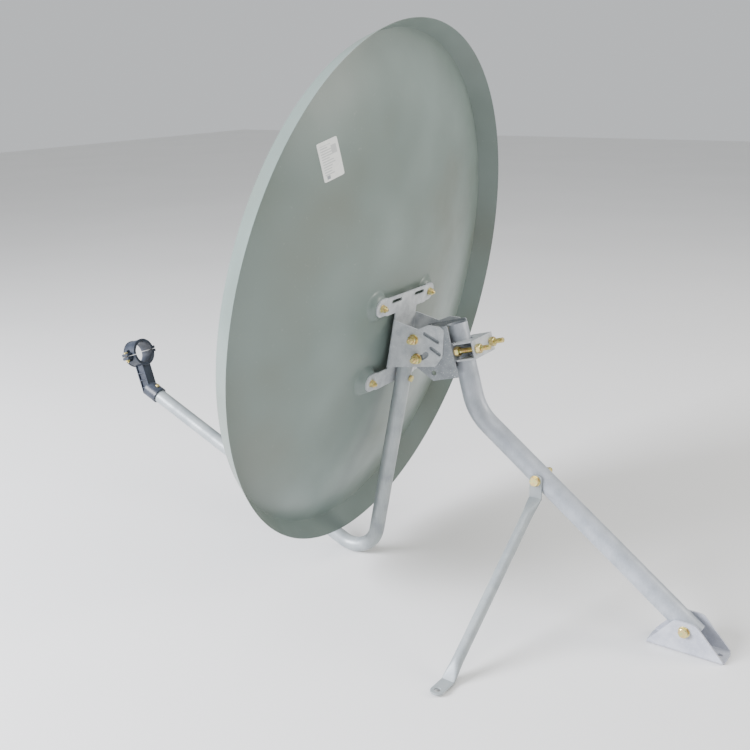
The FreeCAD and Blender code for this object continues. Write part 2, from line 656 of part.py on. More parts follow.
def elevation_slot(body):
    """Curved slot round the hinge that the lock bolt runs in."""
    lock_at = Vector(0, *(size(text) for text in lock_words()))
    lock = dish_frame.inverse().multVec(head_frame.multVec(lock_at))
    hinge = Vector(size("hinge_back"), -size("hinge_drop"), 0)
    spoke = Vector(lock.y, lock.z, 0) - hinge
    first = math.atan2(spoke.y, spoke.x)
    last = first + math.radians(size("lock_sweep"))
    half = size("bolt_wide") / 2 + 0.3

    def place(radius, angle):
        return hinge + Vector(radius * math.cos(angle), radius * math.sin(angle), 0)

    radius = size("lock_radius")
    middle = (first + last) / 2
    beyond = half / radius
    sketch = new_sketch(body, "arc_slot", "YZ_Plane")
    inner_run = [place(radius - half, angle) for angle in (first, middle, last)]
    outer_run = [place(radius + half, angle) for angle in (last, middle, first)]
    sketch.addGeometry(Part.Arc(*inner_run), False)
    sketch.addGeometry(Part.Arc(inner_run[-1], place(radius, last + beyond), outer_run[0]), False)
    sketch.addGeometry(Part.Arc(*outer_run), False)
    sketch.addGeometry(Part.Arc(outer_run[-1], place(radius, first - beyond), inner_run[0]), False)
    cut_through(body, sketch)


def make_bracket_fasteners():
    screws = []
    nuts = []
    washers = []
    inside = size("pad_back") - size("sheet_gauge")
    seat = size("seat_back")
    nut_high = size("Sizes.bolt_slim * 0.8")
    length = seat - inside + WASHER + nut_high + 4
    for side, x in (("near", size("fix_across") / 2), ("far", -size("fix_across") / 2)):
        for level, z in (("high", size("fix_above")), ("low", -size("fix_below"))):
            name = f"{side}_{level}"
            head = doc.addObject("Part::Cone", f"screw_head_{name}")
            head.Radius1 = 4
            head.setExpression("Radius2", "Sizes.bolt_slim * 1.25")
            head.setExpression("Height", "Sizes.bolt_slim / 2")
            head.Placement = shifted(z=-size("bolt_slim") / 2)
            shank = cylinder(f"screw_shank_{name}", "Sizes.bolt_slim / 2", f"{length}")
            screws.append(fused(f"screw_{name}", [head, shank], facing(ALONG_Y, x, inside, z)))
            washers.append(washer(f"ear_washer_{name}", "bolt_slim", facing(ALONG_Y, x, seat, z)))
            nuts.append(hex_nut(f"ear_nut_{name}", "bolt_slim", facing(ALONG_Y, x, seat + WASHER, z)))
    group("bracket_screws", screws, dish_frame)
    group("bracket_washers", washers, dish_frame)
    group("bracket_nuts", nuts, dish_frame)


# ---------------------------------------------------------------- feed arm
def arm_axis():
    """Top end, corner and front end of the arm's axis, in the dish frame's YZ plane."""
    top = Vector(size("arm_top_back"), -size("arm_top"), 0)
    turn_at = Vector(size("arm_corner_back"), -size("arm_corner_drop"), 0)
    reach = turn_at.x + size("arm_front")
    front = turn_at + Vector(-reach, reach * math.tan(math.radians(size("arm_rise"))), 0)
    return top, turn_at, front


def arm_back(drop):
    """Arm axis behind the rim plane at a height on its rear run."""
    top, turn_at, _ = arm_axis()
    share = (drop + top.y) / (top.y - turn_at.y)
    return top.x + (turn_at.x - top.x) * share


def make_arm():
    body = new_body("feed_arm")
    top, turn_at, front = arm_axis()
    route = bent_route(top, turn_at, front, size("arm_bend"))
    lean = Rotation(Z, Vector(0, (top - turn_at).x, (top - turn_at).y))
    start = Placement(Vector(0, top.x, top.y), lean)
    tube(body, start, route, "Sizes.arm_outer", "Sizes.arm_wall")
    holes = [("0", "-Sizes.arm_bolt_upper"), ("0", "-Sizes.arm_bolt_lower")]
    drill(body, "bolts", "XZ_Plane", holes, "Sizes.bolt_slim / 2 + Sizes.fit_slim")
    keep(body, dish_frame)


def make_arm_fasteners():
    bolts = []
    nuts = []
    for name, drop in (("upper", size("arm_bolt_upper")), ("lower", size("arm_bolt_lower"))):
        seat = arm_back(drop) + size("arm_outer") / 2 + 0.2
        length = seat - size("seat_back") + 5.4
        place = facing(ALONG_BACK_Y, 0, seat, -drop)
        bolts.append(hex_bolt(f"arm_bolt_{name}", "bolt_slim", f"{length}", place))
        behind = facing(ALONG_BACK_Y, 0, size("seat_back"), -drop)
        nuts.append(hex_nut(f"arm_nut_{name}", "bolt_slim", behind))
    group("arm_bolts", bolts, dish_frame)
    group("arm_nuts", nuts, dish_frame)


# ---------------------------------------------------------------- feed holder at the arm's front end
def feed_place():
    ahead = size("feed_ahead")
    drop = size("feed_drop")
    lift = math.degrees(math.atan2(drop, ahead + size("rim_depth")))
    return dish_frame * Placement(Vector(0, -ahead, -drop), Rotation(X, lift))


def box(name, wide, deep, high, place):
    """Box centred across X and Y, standing up +Z from its place."""
    item = doc.addObject("Part::Box", name)
    item.setExpression("Length", wide)
    item.setExpression("Width", deep)
    item.setExpression("Height", high)
    item.Placement = place * shifted(-size(wide) / 2, -size(deep) / 2)
    return item


def half_clamp(name, up):
    """Half of the feed clamp with its two screw lugs."""
    outer = "Sizes.feed_bore / 2 + Sizes.feed_wall"
    half = size("feed_width") / 2
    ring = cylinder(f"{name}_ring", outer, "Sizes.feed_width", facing(ALONG_Y, 0, -half, 0))
    low = 0 if up else -size("lug_high")
    lugs = box(f"{name}_lugs", "Sizes.lug_span", "Sizes.lug_deep", "Sizes.lug_high", shifted(z=low))
    solid = fused(f"{name}_outer", [ring, lugs])
    gap = size("feed_split") / 2
    blank_low = gap - size("blank_size") if up else -gap
    blank = box(f"{name}_blank", *["Sizes.blank_size"] * 3, shifted(z=blank_low))
    return less(f"{name}_half", solid, blank)


def feed_bore(name):
    """Cutter for the clamp's bore."""
    place = facing(ALONG_Y, 0, -size("bore_tool") / 2, 0)
    return cylinder(f"{name}_feed_bore", "Sizes.feed_bore / 2", "Sizes.bore_tool", place)


def screw_bore(name, place):
    """Cutter for one of the holder's small screws."""
    return cylinder(name, "Sizes.bolt_feed / 2 + Sizes.fit_slim", "Sizes.bore_tool", place)


def make_feed_holder():
    clamp_frame = feed_place()
    top, turn_at, front = arm_axis()
    run = (turn_at - front).normalize()
    arm_end = Placement(Vector(0, front.x, front.y), Rotation(Z, Vector(0, run.x, run.y)))
    arm_local = clamp_frame.inverse() * dish_frame * arm_end
    wall = size("socket_wall")
    socket_radius = "Sizes.arm_outer / 2 + Sizes.socket_wall"
    socket_long = "Sizes.socket_length + Sizes.socket_wall"
    socket = cylinder("holder_socket", socket_radius, socket_long, arm_local * shifted(z=-wall))
    clamp_out = size("feed_bore") / 2 + size("feed_wall")
    neck_low = shifted(z=size("lug_high") - clamp_out - size("neck_long"))
    neck = box("holder_neck", "Sizes.neck_wide", "Sizes.neck_deep", "Sizes.neck_long", neck_low)
    lower = half_clamp("holder_clamp", False)
    solid = fused("holder_solid", [socket, neck, lower])
    arm_bore = cylinder("holder_arm_bore", "Sizes.arm_outer / 2 + 0.1", "Sizes.bore_tool + 20", arm_local)
    feed_hole = feed_bore("holder")
    tools = [arm_bore, feed_hole]
    across = clamp_out + size("lug_high")
    for name, x in (("near", across), ("far", -across)):
        tools.append(screw_bore(f"holder_screw_{name}", shifted(x, 0, -size("bore_tool") / 2)))
    screw_in = Vector(0, 0, size("set_screw_in"))
    lines = [arm_local * turned(X, angle, screw_in) for angle in (90, -90)]
    screw_line = max(lines, key=lambda line: line.Rotation.multVec(Z).z)
    tools.append(screw_bore("holder_set_bore", screw_line))
    holder = less("feed_holder", solid, fused("holder_tools", tools))
    holder.Label = "feed_holder"
    keep(holder, clamp_frame)

    cap_tools = [feed_bore("cap")]
    for name, x in (("near", across), ("far", -across)):
        cap_tools.append(screw_bore(f"cap_screw_{name}", shifted(x, 0, -size("bore_tool") / 2)))
    cap = less("feed_clamp_cap", half_clamp("cap", True), fused("cap_tools", cap_tools))
    cap.Label = "feed_clamp_cap"
    keep(cap, clamp_frame)

    screws = []
    nuts = []
    for name, x in (("near", across), ("far", -across)):
        seat = turned(X, 180, Vector(x, 0, size("lug_high")))
        under = turned(X, 180, Vector(x, 0, -size("lug_high")))
        screws.append(hex_bolt(f"clamp_screw_{name}", "bolt_feed", "Sizes.feed_screw", seat))
        nuts.append(hex_nut(f"clamp_screw_nut_{name}", "bolt_feed", under))
    group("feed_clamp_screws", screws, clamp_frame)
    group("feed_clamp_nuts", nuts, clamp_frame)
    reach = size("arm_outer") / 2 + wall
    seat = screw_line * turned(X, 180, Vector(0, 0, reach))
    set_screw = hex_bolt("set_screw", "bolt_feed", "Sizes.set_screw", seat)
    group("holder_set_screw", [set_screw], clamp_frame)
    return screw_line, clamp_frame


def drill_arm_end(screw_line, clamp_frame):
    """Hole in the top of the arm's end for the holder's set screw."""
    arm = doc.getObject("feed_arm")
    offset = arm.Placement.inverse() * clamp_frame * screw_line
    opening = new_sketch(arm, "set_hole", "XY_Plane", offset=offset)
    add_circle(opening, ("0", "0"), "Sizes.bolt_feed / 2 + Sizes.fit_slim")
    pocket = arm.newObject("PartDesign::Pocket", "set_hole_cut")
    pocket.Profile = opening
    pocket.Reversed = True
    pocket.setExpression("Length", "Sizes.arm_outer")


# ---------------------------------------------------------------- reflector and its paper label
def beam_directions():
    tilt = math.radians(beam_tilt)
    forward = Vector(0, -math.cos(tilt), math.sin(tilt))
    rising = Vector(0, math.sin(tilt), math.cos(tilt))
    return forward, rising


def bowl_layer(front_shift, back_shift):
    """Solid between two copies of the paraboloid, moved back along the beam, inside the round beam."""
    forward, rising = beam_directions()
    focal = size("focal")
    radius = size("beam_radius")
    offset = size("beam_offset")
    rim_rise = (offset * offset + radius * radius) / (4 * focal)
    vertex = -rising * offset - forward * rim_rise
    low = offset - radius - 5
    high = offset + radius + 5

    def parabola(shift):
        """Exact parabola arc as a quadratic curve between its two ends' tangents."""
        tip = vertex - forward * shift
        first = tip + rising * low + forward * (low * low / 4 / focal)
        last = tip + rising * high + forward * (high * high / 4 / focal)
        between = tip + rising * ((low + high) / 2) + forward * (low * high / 4 / focal)
        curve = Part.BezierCurve()
        curve.setPoles([first, between, last])
        return curve.toShape()

    front = parabola(front_shift)
    back = parabola(back_shift)
    edges = [front, back]
    for index in (0, -1):
        edges.append(Part.makeLine(front.Vertexes[index].Point, back.Vertexes[index].Point))
    section = Part.Face(Part.Wire(Part.__sortEdges__(edges)))
    half_turn = 75
    section.rotate(vertex, forward, -half_turn)
    layer = section.revolve(vertex, forward, 2 * half_turn)
    column = Part.makeCylinder(radius, 900, forward * -300, forward)
    return layer.common(column)


def rim_ellipse(back, spread):
    """Rim outline at a depth behind the rim plane, grown outwards all round."""
    middle = Vector(0, back, 0)
    high = Vector(0, back, rim_high + spread)
    wide = Vector(size("beam_radius") + spread, back, 0)
    return Part.Wire(Part.Edge(Part.Ellipse(high, wide, middle)))


def make_reflector():
    """Pressed offset bowl with four pads, and the flange turned back round its rim, as two nodes."""
    gauge = size("sheet_gauge")
    shell = bowl_layer(0, gauge)
    depth = size("rim_depth")
    flare = size("rim_flare")
    outside = Part.makeLoft([rim_ellipse(0, 0), rim_ellipse(depth, flare)], True)
    inner_ends = [rim_ellipse(-0.1, -gauge - 0.06), rim_ellipse(depth + 0.1, flare - gauge + 0.06)]
    inside = Part.makeLoft(inner_ends, True)
    flange = max(outside.cut(inside).cut(shell).Solids, key=lambda solid: solid.Volume)
    behind_back = bowl_layer(gauge - 0.02, 40)
    behind_front = bowl_layer(-0.5, 40)
    top = size("pad_back")
    for x in (size("fix_across") / 2, -size("fix_across") / 2):
        for z in (size("fix_above"), -size("fix_below")):
            centre = Vector(x, top - 30, z)
            slope = (size("pad_foot") - size("pad_crown")) / 12
            wide = size("pad_crown") + slope * 30
            boss = Part.makeCone(wide, size("pad_crown"), 30, centre, Y)
            hollow = Part.makeCone(wide - gauge, size("pad_crown") - gauge, 30, centre - Y * gauge, Y)
            shell = shell.fuse(boss.common(behind_back))
            shell = shell.cut(hollow.common(behind_front))
            hole = Part.makeCylinder(size("bolt_slim") / 2 + size("fit_slim"), 40, centre, Y)
            shell = shell.cut(hole)
    for label, shape in (("reflector", shell.removeSplitter()), ("reflector_rim", flange)):
        item = doc.addObject("Part::Feature", label)
        item.Label = label
        item.Shape = shape
        keep(item, dish_frame)


def make_label():
    """Paper label that follows the back of the bowl."""
    gauge = size("sheet_gauge")
    layer = bowl_layer(gauge + 0.03, gauge + 0.25)
    wide = size("label_wide")
    high = size("label_high")
    block = Part.makeBox(wide, 60, high, Vector(-wide / 2, 0, -high / 2))
    block.Placement = Placement(Vector(size("label_side"), 0, size("label_up")), Rotation(Y, size("label_turn")))
    item = doc.addObject("Part::Feature", "paper_label")
    item.Label = "paper_label"
    item.Shape = layer.common(block)
    keep(item, dish_frame)


# ---------------------------------------------------------------- the whole part
make_foot()
foot_half = size("foot_inner") / 2 + size("foot_gauge")
foot_frame = shifted(z=size("foot_height"))
cross_bolt(("foot_bolt", "foot_nut", "foot_washers"), foot_frame, foot_half, -foot_half)
make_mast()
strut_hole = make_strut()
strut_outside = size("mast_outer") / 2 + size("strut_stand") + size("strut_flat")
strut_line = Placement(strut_bolt_at, Rotation())
strut_far = -size("mast_outer") / 2 - 0.1
cross_bolt(("strut_bolt", "strut_nut", "strut_washers"), strut_line, strut_outside, strut_far)
make_saddle()
make_jaw()
make_clamp_fasteners()
cheek = size("cheek_out")
hinge_y, hinge_z = (size(text) for text in hinge_words())
lock_y, lock_z = (size(text) for text in lock_words())
cross_bolt(("hinge_bolt", "hinge_nut", None), head_frame, cheek, -cheek, hinge_y, hinge_z, head_far=True)
cross_bolt(("lock_bolt", "lock_nut", None), head_frame, cheek, -cheek, lock_y, lock_z, head_far=True)
elevation_washers = cross_washers("hinge_washer", cheek, -cheek, hinge_y, hinge_z)
elevation_washers += cross_washers("lock_washer", cheek, -cheek, lock_y, lock_z)
group("elevation_washers", elevation_washers, head_frame)
make_bracket()
make_bracket_fasteners()
make_arm()
make_arm_fasteners()
drill_arm_end(*make_feed_holder())
make_reflector()
make_label()

doc.recompute()
faults = []
for item in doc.Objects:
    if {"Invalid", "Error"} & set(item.State):
        faults.append(f"{item.Name}: {item.State}")
for item in nodes:
    if item.Shape.isNull() or not item.Shape.isValid():
        faults.append(f"{item.Label}: shape is null or not valid")
if faults:
    raise RuntimeError("; ".join(faults))

print("middle of the strut's ground hole", strut_hole)
os.makedirs("parts", exist_ok=True)
for item in nodes:
    item.Shape.exportStep(f"parts/{item.Label}.step")
    print(f"{item.Label:20s} solids {len(item.Shape.Solids)} volume {item.Shape.Volume / 1000:9.2f} cm3")
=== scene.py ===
"""Looks of an offset satellite dish on a bent ground mast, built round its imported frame.

Frame: metres, +Z up, origin on the ground under the foot pivot. The mast leans towards -Y and the
reflector faces -Y. Sizes below are in millimetres, and each sub-assembly is built in a local frame of
its own, which Layout gives.
"""
import logging
import math
from dataclasses import dataclass, field
from enum import Enum
from typing import Callable, Iterable, Optional, Sequence

import bmesh
import bpy
from mathutils import Matrix, Vector


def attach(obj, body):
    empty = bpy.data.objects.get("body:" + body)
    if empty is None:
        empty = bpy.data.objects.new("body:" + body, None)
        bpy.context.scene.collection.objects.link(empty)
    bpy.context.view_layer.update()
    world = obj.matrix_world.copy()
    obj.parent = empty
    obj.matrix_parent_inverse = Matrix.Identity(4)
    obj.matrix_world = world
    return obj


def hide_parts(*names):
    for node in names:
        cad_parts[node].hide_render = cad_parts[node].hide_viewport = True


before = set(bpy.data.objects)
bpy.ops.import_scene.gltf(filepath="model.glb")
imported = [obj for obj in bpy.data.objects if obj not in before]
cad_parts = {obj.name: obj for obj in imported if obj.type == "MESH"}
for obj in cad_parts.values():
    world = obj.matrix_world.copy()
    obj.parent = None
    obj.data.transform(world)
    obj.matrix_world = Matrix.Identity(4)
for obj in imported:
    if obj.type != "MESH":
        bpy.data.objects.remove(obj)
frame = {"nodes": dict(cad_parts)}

log = logging.getLogger("satellite_dish")
MM = 0.001
Point = tuple[float, float]


# ---------------------------------------------------------------- places
def turned(axis: str, degrees: float) -> Matrix:
    """Turn about one of the axes X, Y or Z."""
    return Matrix.Rotation(math.radians(degrees), 4, axis)


def shifted(x: float = 0.0, y: float = 0.0, z: float = 0.0) -> Matrix:
    """Shift in millimetres."""
    return Matrix.Translation((x, y, z))


class Facing(Enum):
    """Way that a fastener's own +Z, from head to tip, points in its local frame."""

    X = turned("Y", 90)
    BACK_X = turned("Y", -90)
    Y = turned("X", -90)
    BACK_Y = turned("X", 90)
    BACK_Z = turned("X", 180)


@dataclass(frozen=True)
class Layout:
    """Where each sub-assembly stands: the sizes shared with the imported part, and its local frames."""

    foot_height: float = 35.0
    mast_slope: float = 36.8
    mast_lower: float = 432.0
    mast_upper: float = 141.0
    mast_turn: float = 38.2
    strut_along: float = 294.0
    swivel: float = 3.0
    tilt: float = 25.2
    hinge_ahead: float = 60.0
    hinge_below: float = 10.0
    hinge_back: float = 114.3
    hinge_drop: float = 41.5
    feed_ahead: float = 480.0
    feed_drop: float = 264.0
    rim_depth: float = 32.5

    def foot(self) -> Matrix:
        """Foot pivot, axes as the whole part."""
        return shifted(z=self.foot_height)

    def mast(self) -> Matrix:
        """Foot pivot, +Z along the mast's lower run."""
        return self.foot() @ turned("X", 90 - self.mast_slope)

    def head(self) -> Matrix:
        """Top of the mast, +Z along its upper run, +Y away from the reflector."""
        corner = self.mast() @ shifted(z=self.mast_lower) @ turned("X", -self.mast_turn)
        return corner @ shifted(z=self.mast_upper) @ turned("Z", self.swivel)

    def dish(self) -> Matrix:
        """Centre of the reflector's rim, +Y backwards, +Z up the rim plane."""
        hinge = self.head() @ shifted(y=-self.hinge_ahead, z=-self.hinge_below)
        return hinge @ turned("X", -self.tilt) @ shifted(y=-self.hinge_back, z=self.hinge_drop)

    def feed(self) -> Matrix:
        """Centre of the feed clamp, +Y along its bore and away from the beam's source."""
        lift = math.degrees(math.atan2(self.feed_drop, self.feed_ahead + self.rim_depth))
        return self.dish() @ shifted(y=-self.feed_ahead, z=-self.feed_drop) @ turned("X", lift)

    def strut_bolt(self) -> Matrix:
        """Strut bolt on the mast's axis, axes as the whole part."""
        return Matrix.Translation(self.mast() @ Vector((0, 0, self.strut_along)))


LAYOUT = Layout()


# ---------------------------------------------------------------- materials
def linear(code: str) -> tuple[float, float, float, float]:
    """Linear colour of an sRGB hex value.

    Args:
        code: six hex digits, as "A0B1C2".

    Returns:
        Red, green, blue and an alpha of 1.
    """
    values = [int(code[index:index + 2], 16) / 255 for index in (0, 2, 4)]
    return (*[v / 12.92 if v <= 0.04045 else ((v + 0.055) / 1.055) ** 2.4 for v in values], 1.0)


def add(tree: bpy.types.NodeTree, kind: str, links: Optional[dict] = None, **settings) -> bpy.types.Node:
    """Add a shader node.

    Args:
        tree: material's node tree.
        kind: node type without its ShaderNode prefix.
        links: input name or number to the socket that feeds it, or to its value.
        settings: attributes of the node itself.

    Returns:
        The new node.
    """
    item = tree.nodes.new(f"ShaderNode{kind}")
    for name, value in settings.items():
        setattr(item, name, value)
    for name, value in (links or {}).items():
        if isinstance(value, bpy.types.NodeSocket):
            tree.links.new(value, item.inputs[name])
        else:
            item.inputs[name].default_value = value
    return item


def ramp(tree: bpy.types.NodeTree, factor: bpy.types.NodeSocket,
         stops: Sequence[tuple]) -> bpy.types.NodeSocket:
    """Colour ramp through stops of (position, colour)."""
    item = add(tree, "ValToRGB", {"Fac": factor})
    band = item.color_ramp
    while len(band.elements) < len(stops):
        band.elements.new(1.0)
    for element, (position, colour) in zip(band.elements, stops):
        element.position = position
        element.color = colour
    return item.outputs["Color"]


def grey(value: float) -> tuple[float, float, float, float]:
    """Neutral colour of a linear value, for masks."""
    return (value, value, value, 1.0)


@dataclass(frozen=True)
class Finish:
    """A procedural finish whose patterns read Object coordinates, in metres."""

    name: str

    def tree(self, **uniform: float) -> tuple[bpy.types.Material, bpy.types.NodeTree, bpy.types.Node]:
        """New material with one Principled shader, its uniform values set on the shader's own sockets."""
        material = bpy.data.materials.new(self.name)
        material.use_nodes = True
        nodes = material.node_tree
        shader = nodes.nodes["Principled BSDF"]
        for label, value in uniform.items():
            shader.inputs[label.replace("_", " ").title().replace("Ior", "IOR")].default_value = value
        return material, nodes, shader

    def noise(self, tree: bpy.types.NodeTree, grain_mm: float, detail: float = 3.0,
              stretch: Sequence[float] = (1, 1, 1),
              turn: Sequence[float] = (0, 0, 0)) -> bpy.types.NodeSocket:
        """Noise in the piece's own place.

        Args:
            tree: material's node tree.
            grain_mm: size of one grain.
            detail: octaves of finer noise.
            stretch: scale along each axis of the turned pattern.
            turn: turn of the pattern, in radians.

        Returns:
            The noise's factor.
        """
        place = add(tree, "TexCoord").outputs["Object"]
        mapping = add(tree, "Mapping", {"Vector": place, "Scale": stretch, "Rotation": turn})
        links = {"Vector": mapping.outputs["Vector"], "Scale": 1 / (grain_mm * MM), "Detail": detail}
        return add(tree, "TexNoise", links).outputs["Fac"]

    def bump(self, tree: bpy.types.NodeTree, shader: bpy.types.Node, height: bpy.types.NodeSocket,
             depth_mm: float, strength: float) -> None:
        """Raise the surface by a height pattern of a depth in millimetres."""
        item = add(tree, "Bump", {"Height": height, "Distance": depth_mm * MM, "Strength": strength})
        tree.links.new(item.outputs["Normal"], shader.inputs["Normal"])


@dataclass(frozen=True)
class PowderCoat(Finish):
    """Polyester powder coat baked on pressed steel sheet: satin, with a soft orange peel."""

    name: str = "powder_coated_steel_sheet"
    base: str = "6A7771"
    faded: str = "76837E"
    stained: str = "656E65"
    dust: str = "8F958E"
    peel_mm: float = 2.2
    roughness: float = 0.36

    def make(self) -> bpy.types.Material:
        """Grey-green paint that fades in broad patches and carries a few scattered specks of dust."""
        material, tree, shader = self.tree(coat_weight=0.12, coat_roughness=0.22)
        patches = self.noise(tree, 190, 2.0)
        colour = ramp(tree, patches,
                      ((0.3, linear(self.stained)), (0.52, linear(self.base)), (0.75, linear(self.faded))))
        specks = ramp(tree, self.noise(tree, 5.5, 4.0), ((0.66, grey(0.0)), (0.74, grey(1.0))))
        dusty = add(tree, "Mix", {"Factor": specks, "A": colour, "B": linear(self.dust)}, data_type="RGBA")
        softened = add(tree, "Mix", {"Factor": 0.22, "A": colour, "B": dusty.outputs["Result"]},
                       data_type="RGBA")
        tree.links.new(softened.outputs["Result"], shader.inputs["Base Color"])
        gloss = ramp(tree, self.noise(tree, 70, 3.0),
                     ((0.3, grey(self.roughness - 0.05)), (0.7, grey(self.roughness + 0.09))))
        tree.links.new(gloss, shader.inputs["Roughness"])
        self.bump(tree, shader, self.noise(tree, self.peel_mm, 1.0), 0.05, 0.25)
        return material


@dataclass(frozen=True)
class CoatedPress(Finish):
    """Pale coat over hot-pressed bracket steel: a little lumpy, scuffed to brighter metal in specks."""

    name: str = "coated_pressed_steel"
    base: str = "BCC0C2"
    shade: str = "A5A9AD"
    scuff: str = "DADCDD"
    roughness: float = 0.42

    def make(self) -> bpy.types.Material:
        """Mottled grey coat with scattered bright scuffs and a fine cast of dust."""
        material, tree, shader = self.tree(specular_ior_level=0.55)
        mottle = self.noise(tree, 14, 4.0)
        colour = ramp(tree, mottle, ((0.32, linear(self.shade)), (0.62, linear(self.base))))
        scratch = ramp(tree, self.noise(tree, 3.2, 6.0, (1, 1, 3.5)), ((0.63, grey(0.0)), (0.7, grey(1.0))))
        mix = add(tree, "Mix", {"Factor": scratch, "A": colour, "B": linear(self.scuff)}, data_type="RGBA")
        tree.links.new(mix.outputs["Result"], shader.inputs["Base Color"])
        metal = add(tree, "Math", {0: scratch, 1: 0.35}, operation="MULTIPLY")
        tree.links.new(metal.outputs["Value"], shader.inputs["Metallic"])
        gloss = ramp(tree, mottle, ((0.3, grey(self.roughness + 0.1)), (0.7, grey(self.roughness - 0.06))))
        tree.links.new(gloss, shader.inputs["Roughness"])
        self.bump(tree, shader, self.noise(tree, 1.6, 3.0), 0.05, 0.3)
        return material


@dataclass(frozen=True)
class Galvanised(Finish):
    """Drawn steel tube, electro-galvanised: bluish grey, with draw lines along it and dull patches."""

    name: str = "galvanised_drawn_tube"
    base: str = "B3B8BF"
    dull: str = "9FA5AC"
    roughness: float = 0.4
    metallic: float = 0.2
    lines: tuple[float, float, float] = (1.0, 1.0, 0.04)
    turn: tuple[float, float, float] = (0.0, 0.0, 0.0)

    def make(self) -> bpy.types.Material:
        """Zinc that dulls in patches, with draw lines along the tube."""
        material, tree, shader = self.tree(metallic=self.metallic)
        patches = self.noise(tree, 28, 5.0)
        colour = ramp(tree, patches, ((0.33, linear(self.dull)), (0.6, linear(self.base))))
        draw = self.noise(tree, 1.4, 3.0, self.lines, self.turn)
        lined = ramp(tree, draw, ((0.35, grey(0.88)), (0.65, grey(1.0))))
        shaded = add(tree, "Mix", {"Factor": 0.8, "A": colour, "B": lined}, data_type="RGBA",
                     blend_type="MULTIPLY")
        tree.links.new(shaded.outputs["Result"], shader.inputs["Base Color"])
        gloss = ramp(tree, patches, ((0.3, grey(self.roughness + 0.12)), (0.68, grey(self.roughness - 0.05))))
        tree.links.new(gloss, shader.inputs["Roughness"])
        self.bump(tree, shader, draw, 0.03, 0.25)
        return material


@dataclass(frozen=True)
class YellowZinc(Finish):
    """Cold-forged steel fasteners, zinc plated and yellow passivated: gold with rose and green bloom."""

    name: str = "yellow_passivated_zinc"
    gold: str = "DCCB85"
    rose: str = "D2B184"
    green: str = "C2C68E"
    roughness: float = 0.3

    def make(self) -> bpy.types.Material:
        """Iridescent passivation that drifts over each fastener."""
        material, tree, shader = self.tree(metallic=0.95)
        bloom = self.noise(tree, 5.0, 3.0)
        stops = ((0.3, linear(self.green)), (0.48, linear(self.gold)), (0.68, linear(self.rose)))
        tree.links.new(ramp(tree, bloom, stops), shader.inputs["Base Color"])
        wear = self.noise(tree, 1.2, 4.0)
        gloss = ramp(tree, wear, ((0.3, grey(self.roughness - 0.06)), (0.72, grey(self.roughness + 0.16))))
        tree.links.new(gloss, shader.inputs["Roughness"])
        self.bump(tree, shader, wear, 0.02, 0.25)
        return material


@dataclass(frozen=True)
class MouldedPlastic(Finish):
    """Injection-moulded acetal with a spark-eroded grain: charcoal blue, weathered a little paler."""

    name: str = "moulded_charcoal_acetal"
    base: str = "222833"
    chalk: str = "343B47"
    roughness: float = 0.36

    def make(self) -> bpy.types.Material:
        """Fine grain with faint chalking where the sun has been."""
        material, tree, shader = self.tree(ior=1.48)
        chalking = self.noise(tree, 16, 4.0)
        colour = ramp(tree, chalking, ((0.4, linear(self.base)), (0.72, linear(self.chalk))))
        tree.links.new(colour, shader.inputs["Base Color"])
        grain = self.noise(tree, 0.7, 2.0)
        gloss = ramp(tree, grain, ((0.3, grey(self.roughness - 0.04)), (0.7, grey(self.roughness + 0.1))))
        tree.links.new(gloss, shader.inputs["Roughness"])
        self.bump(tree, shader, grain, 0.04, 0.3)
        return material


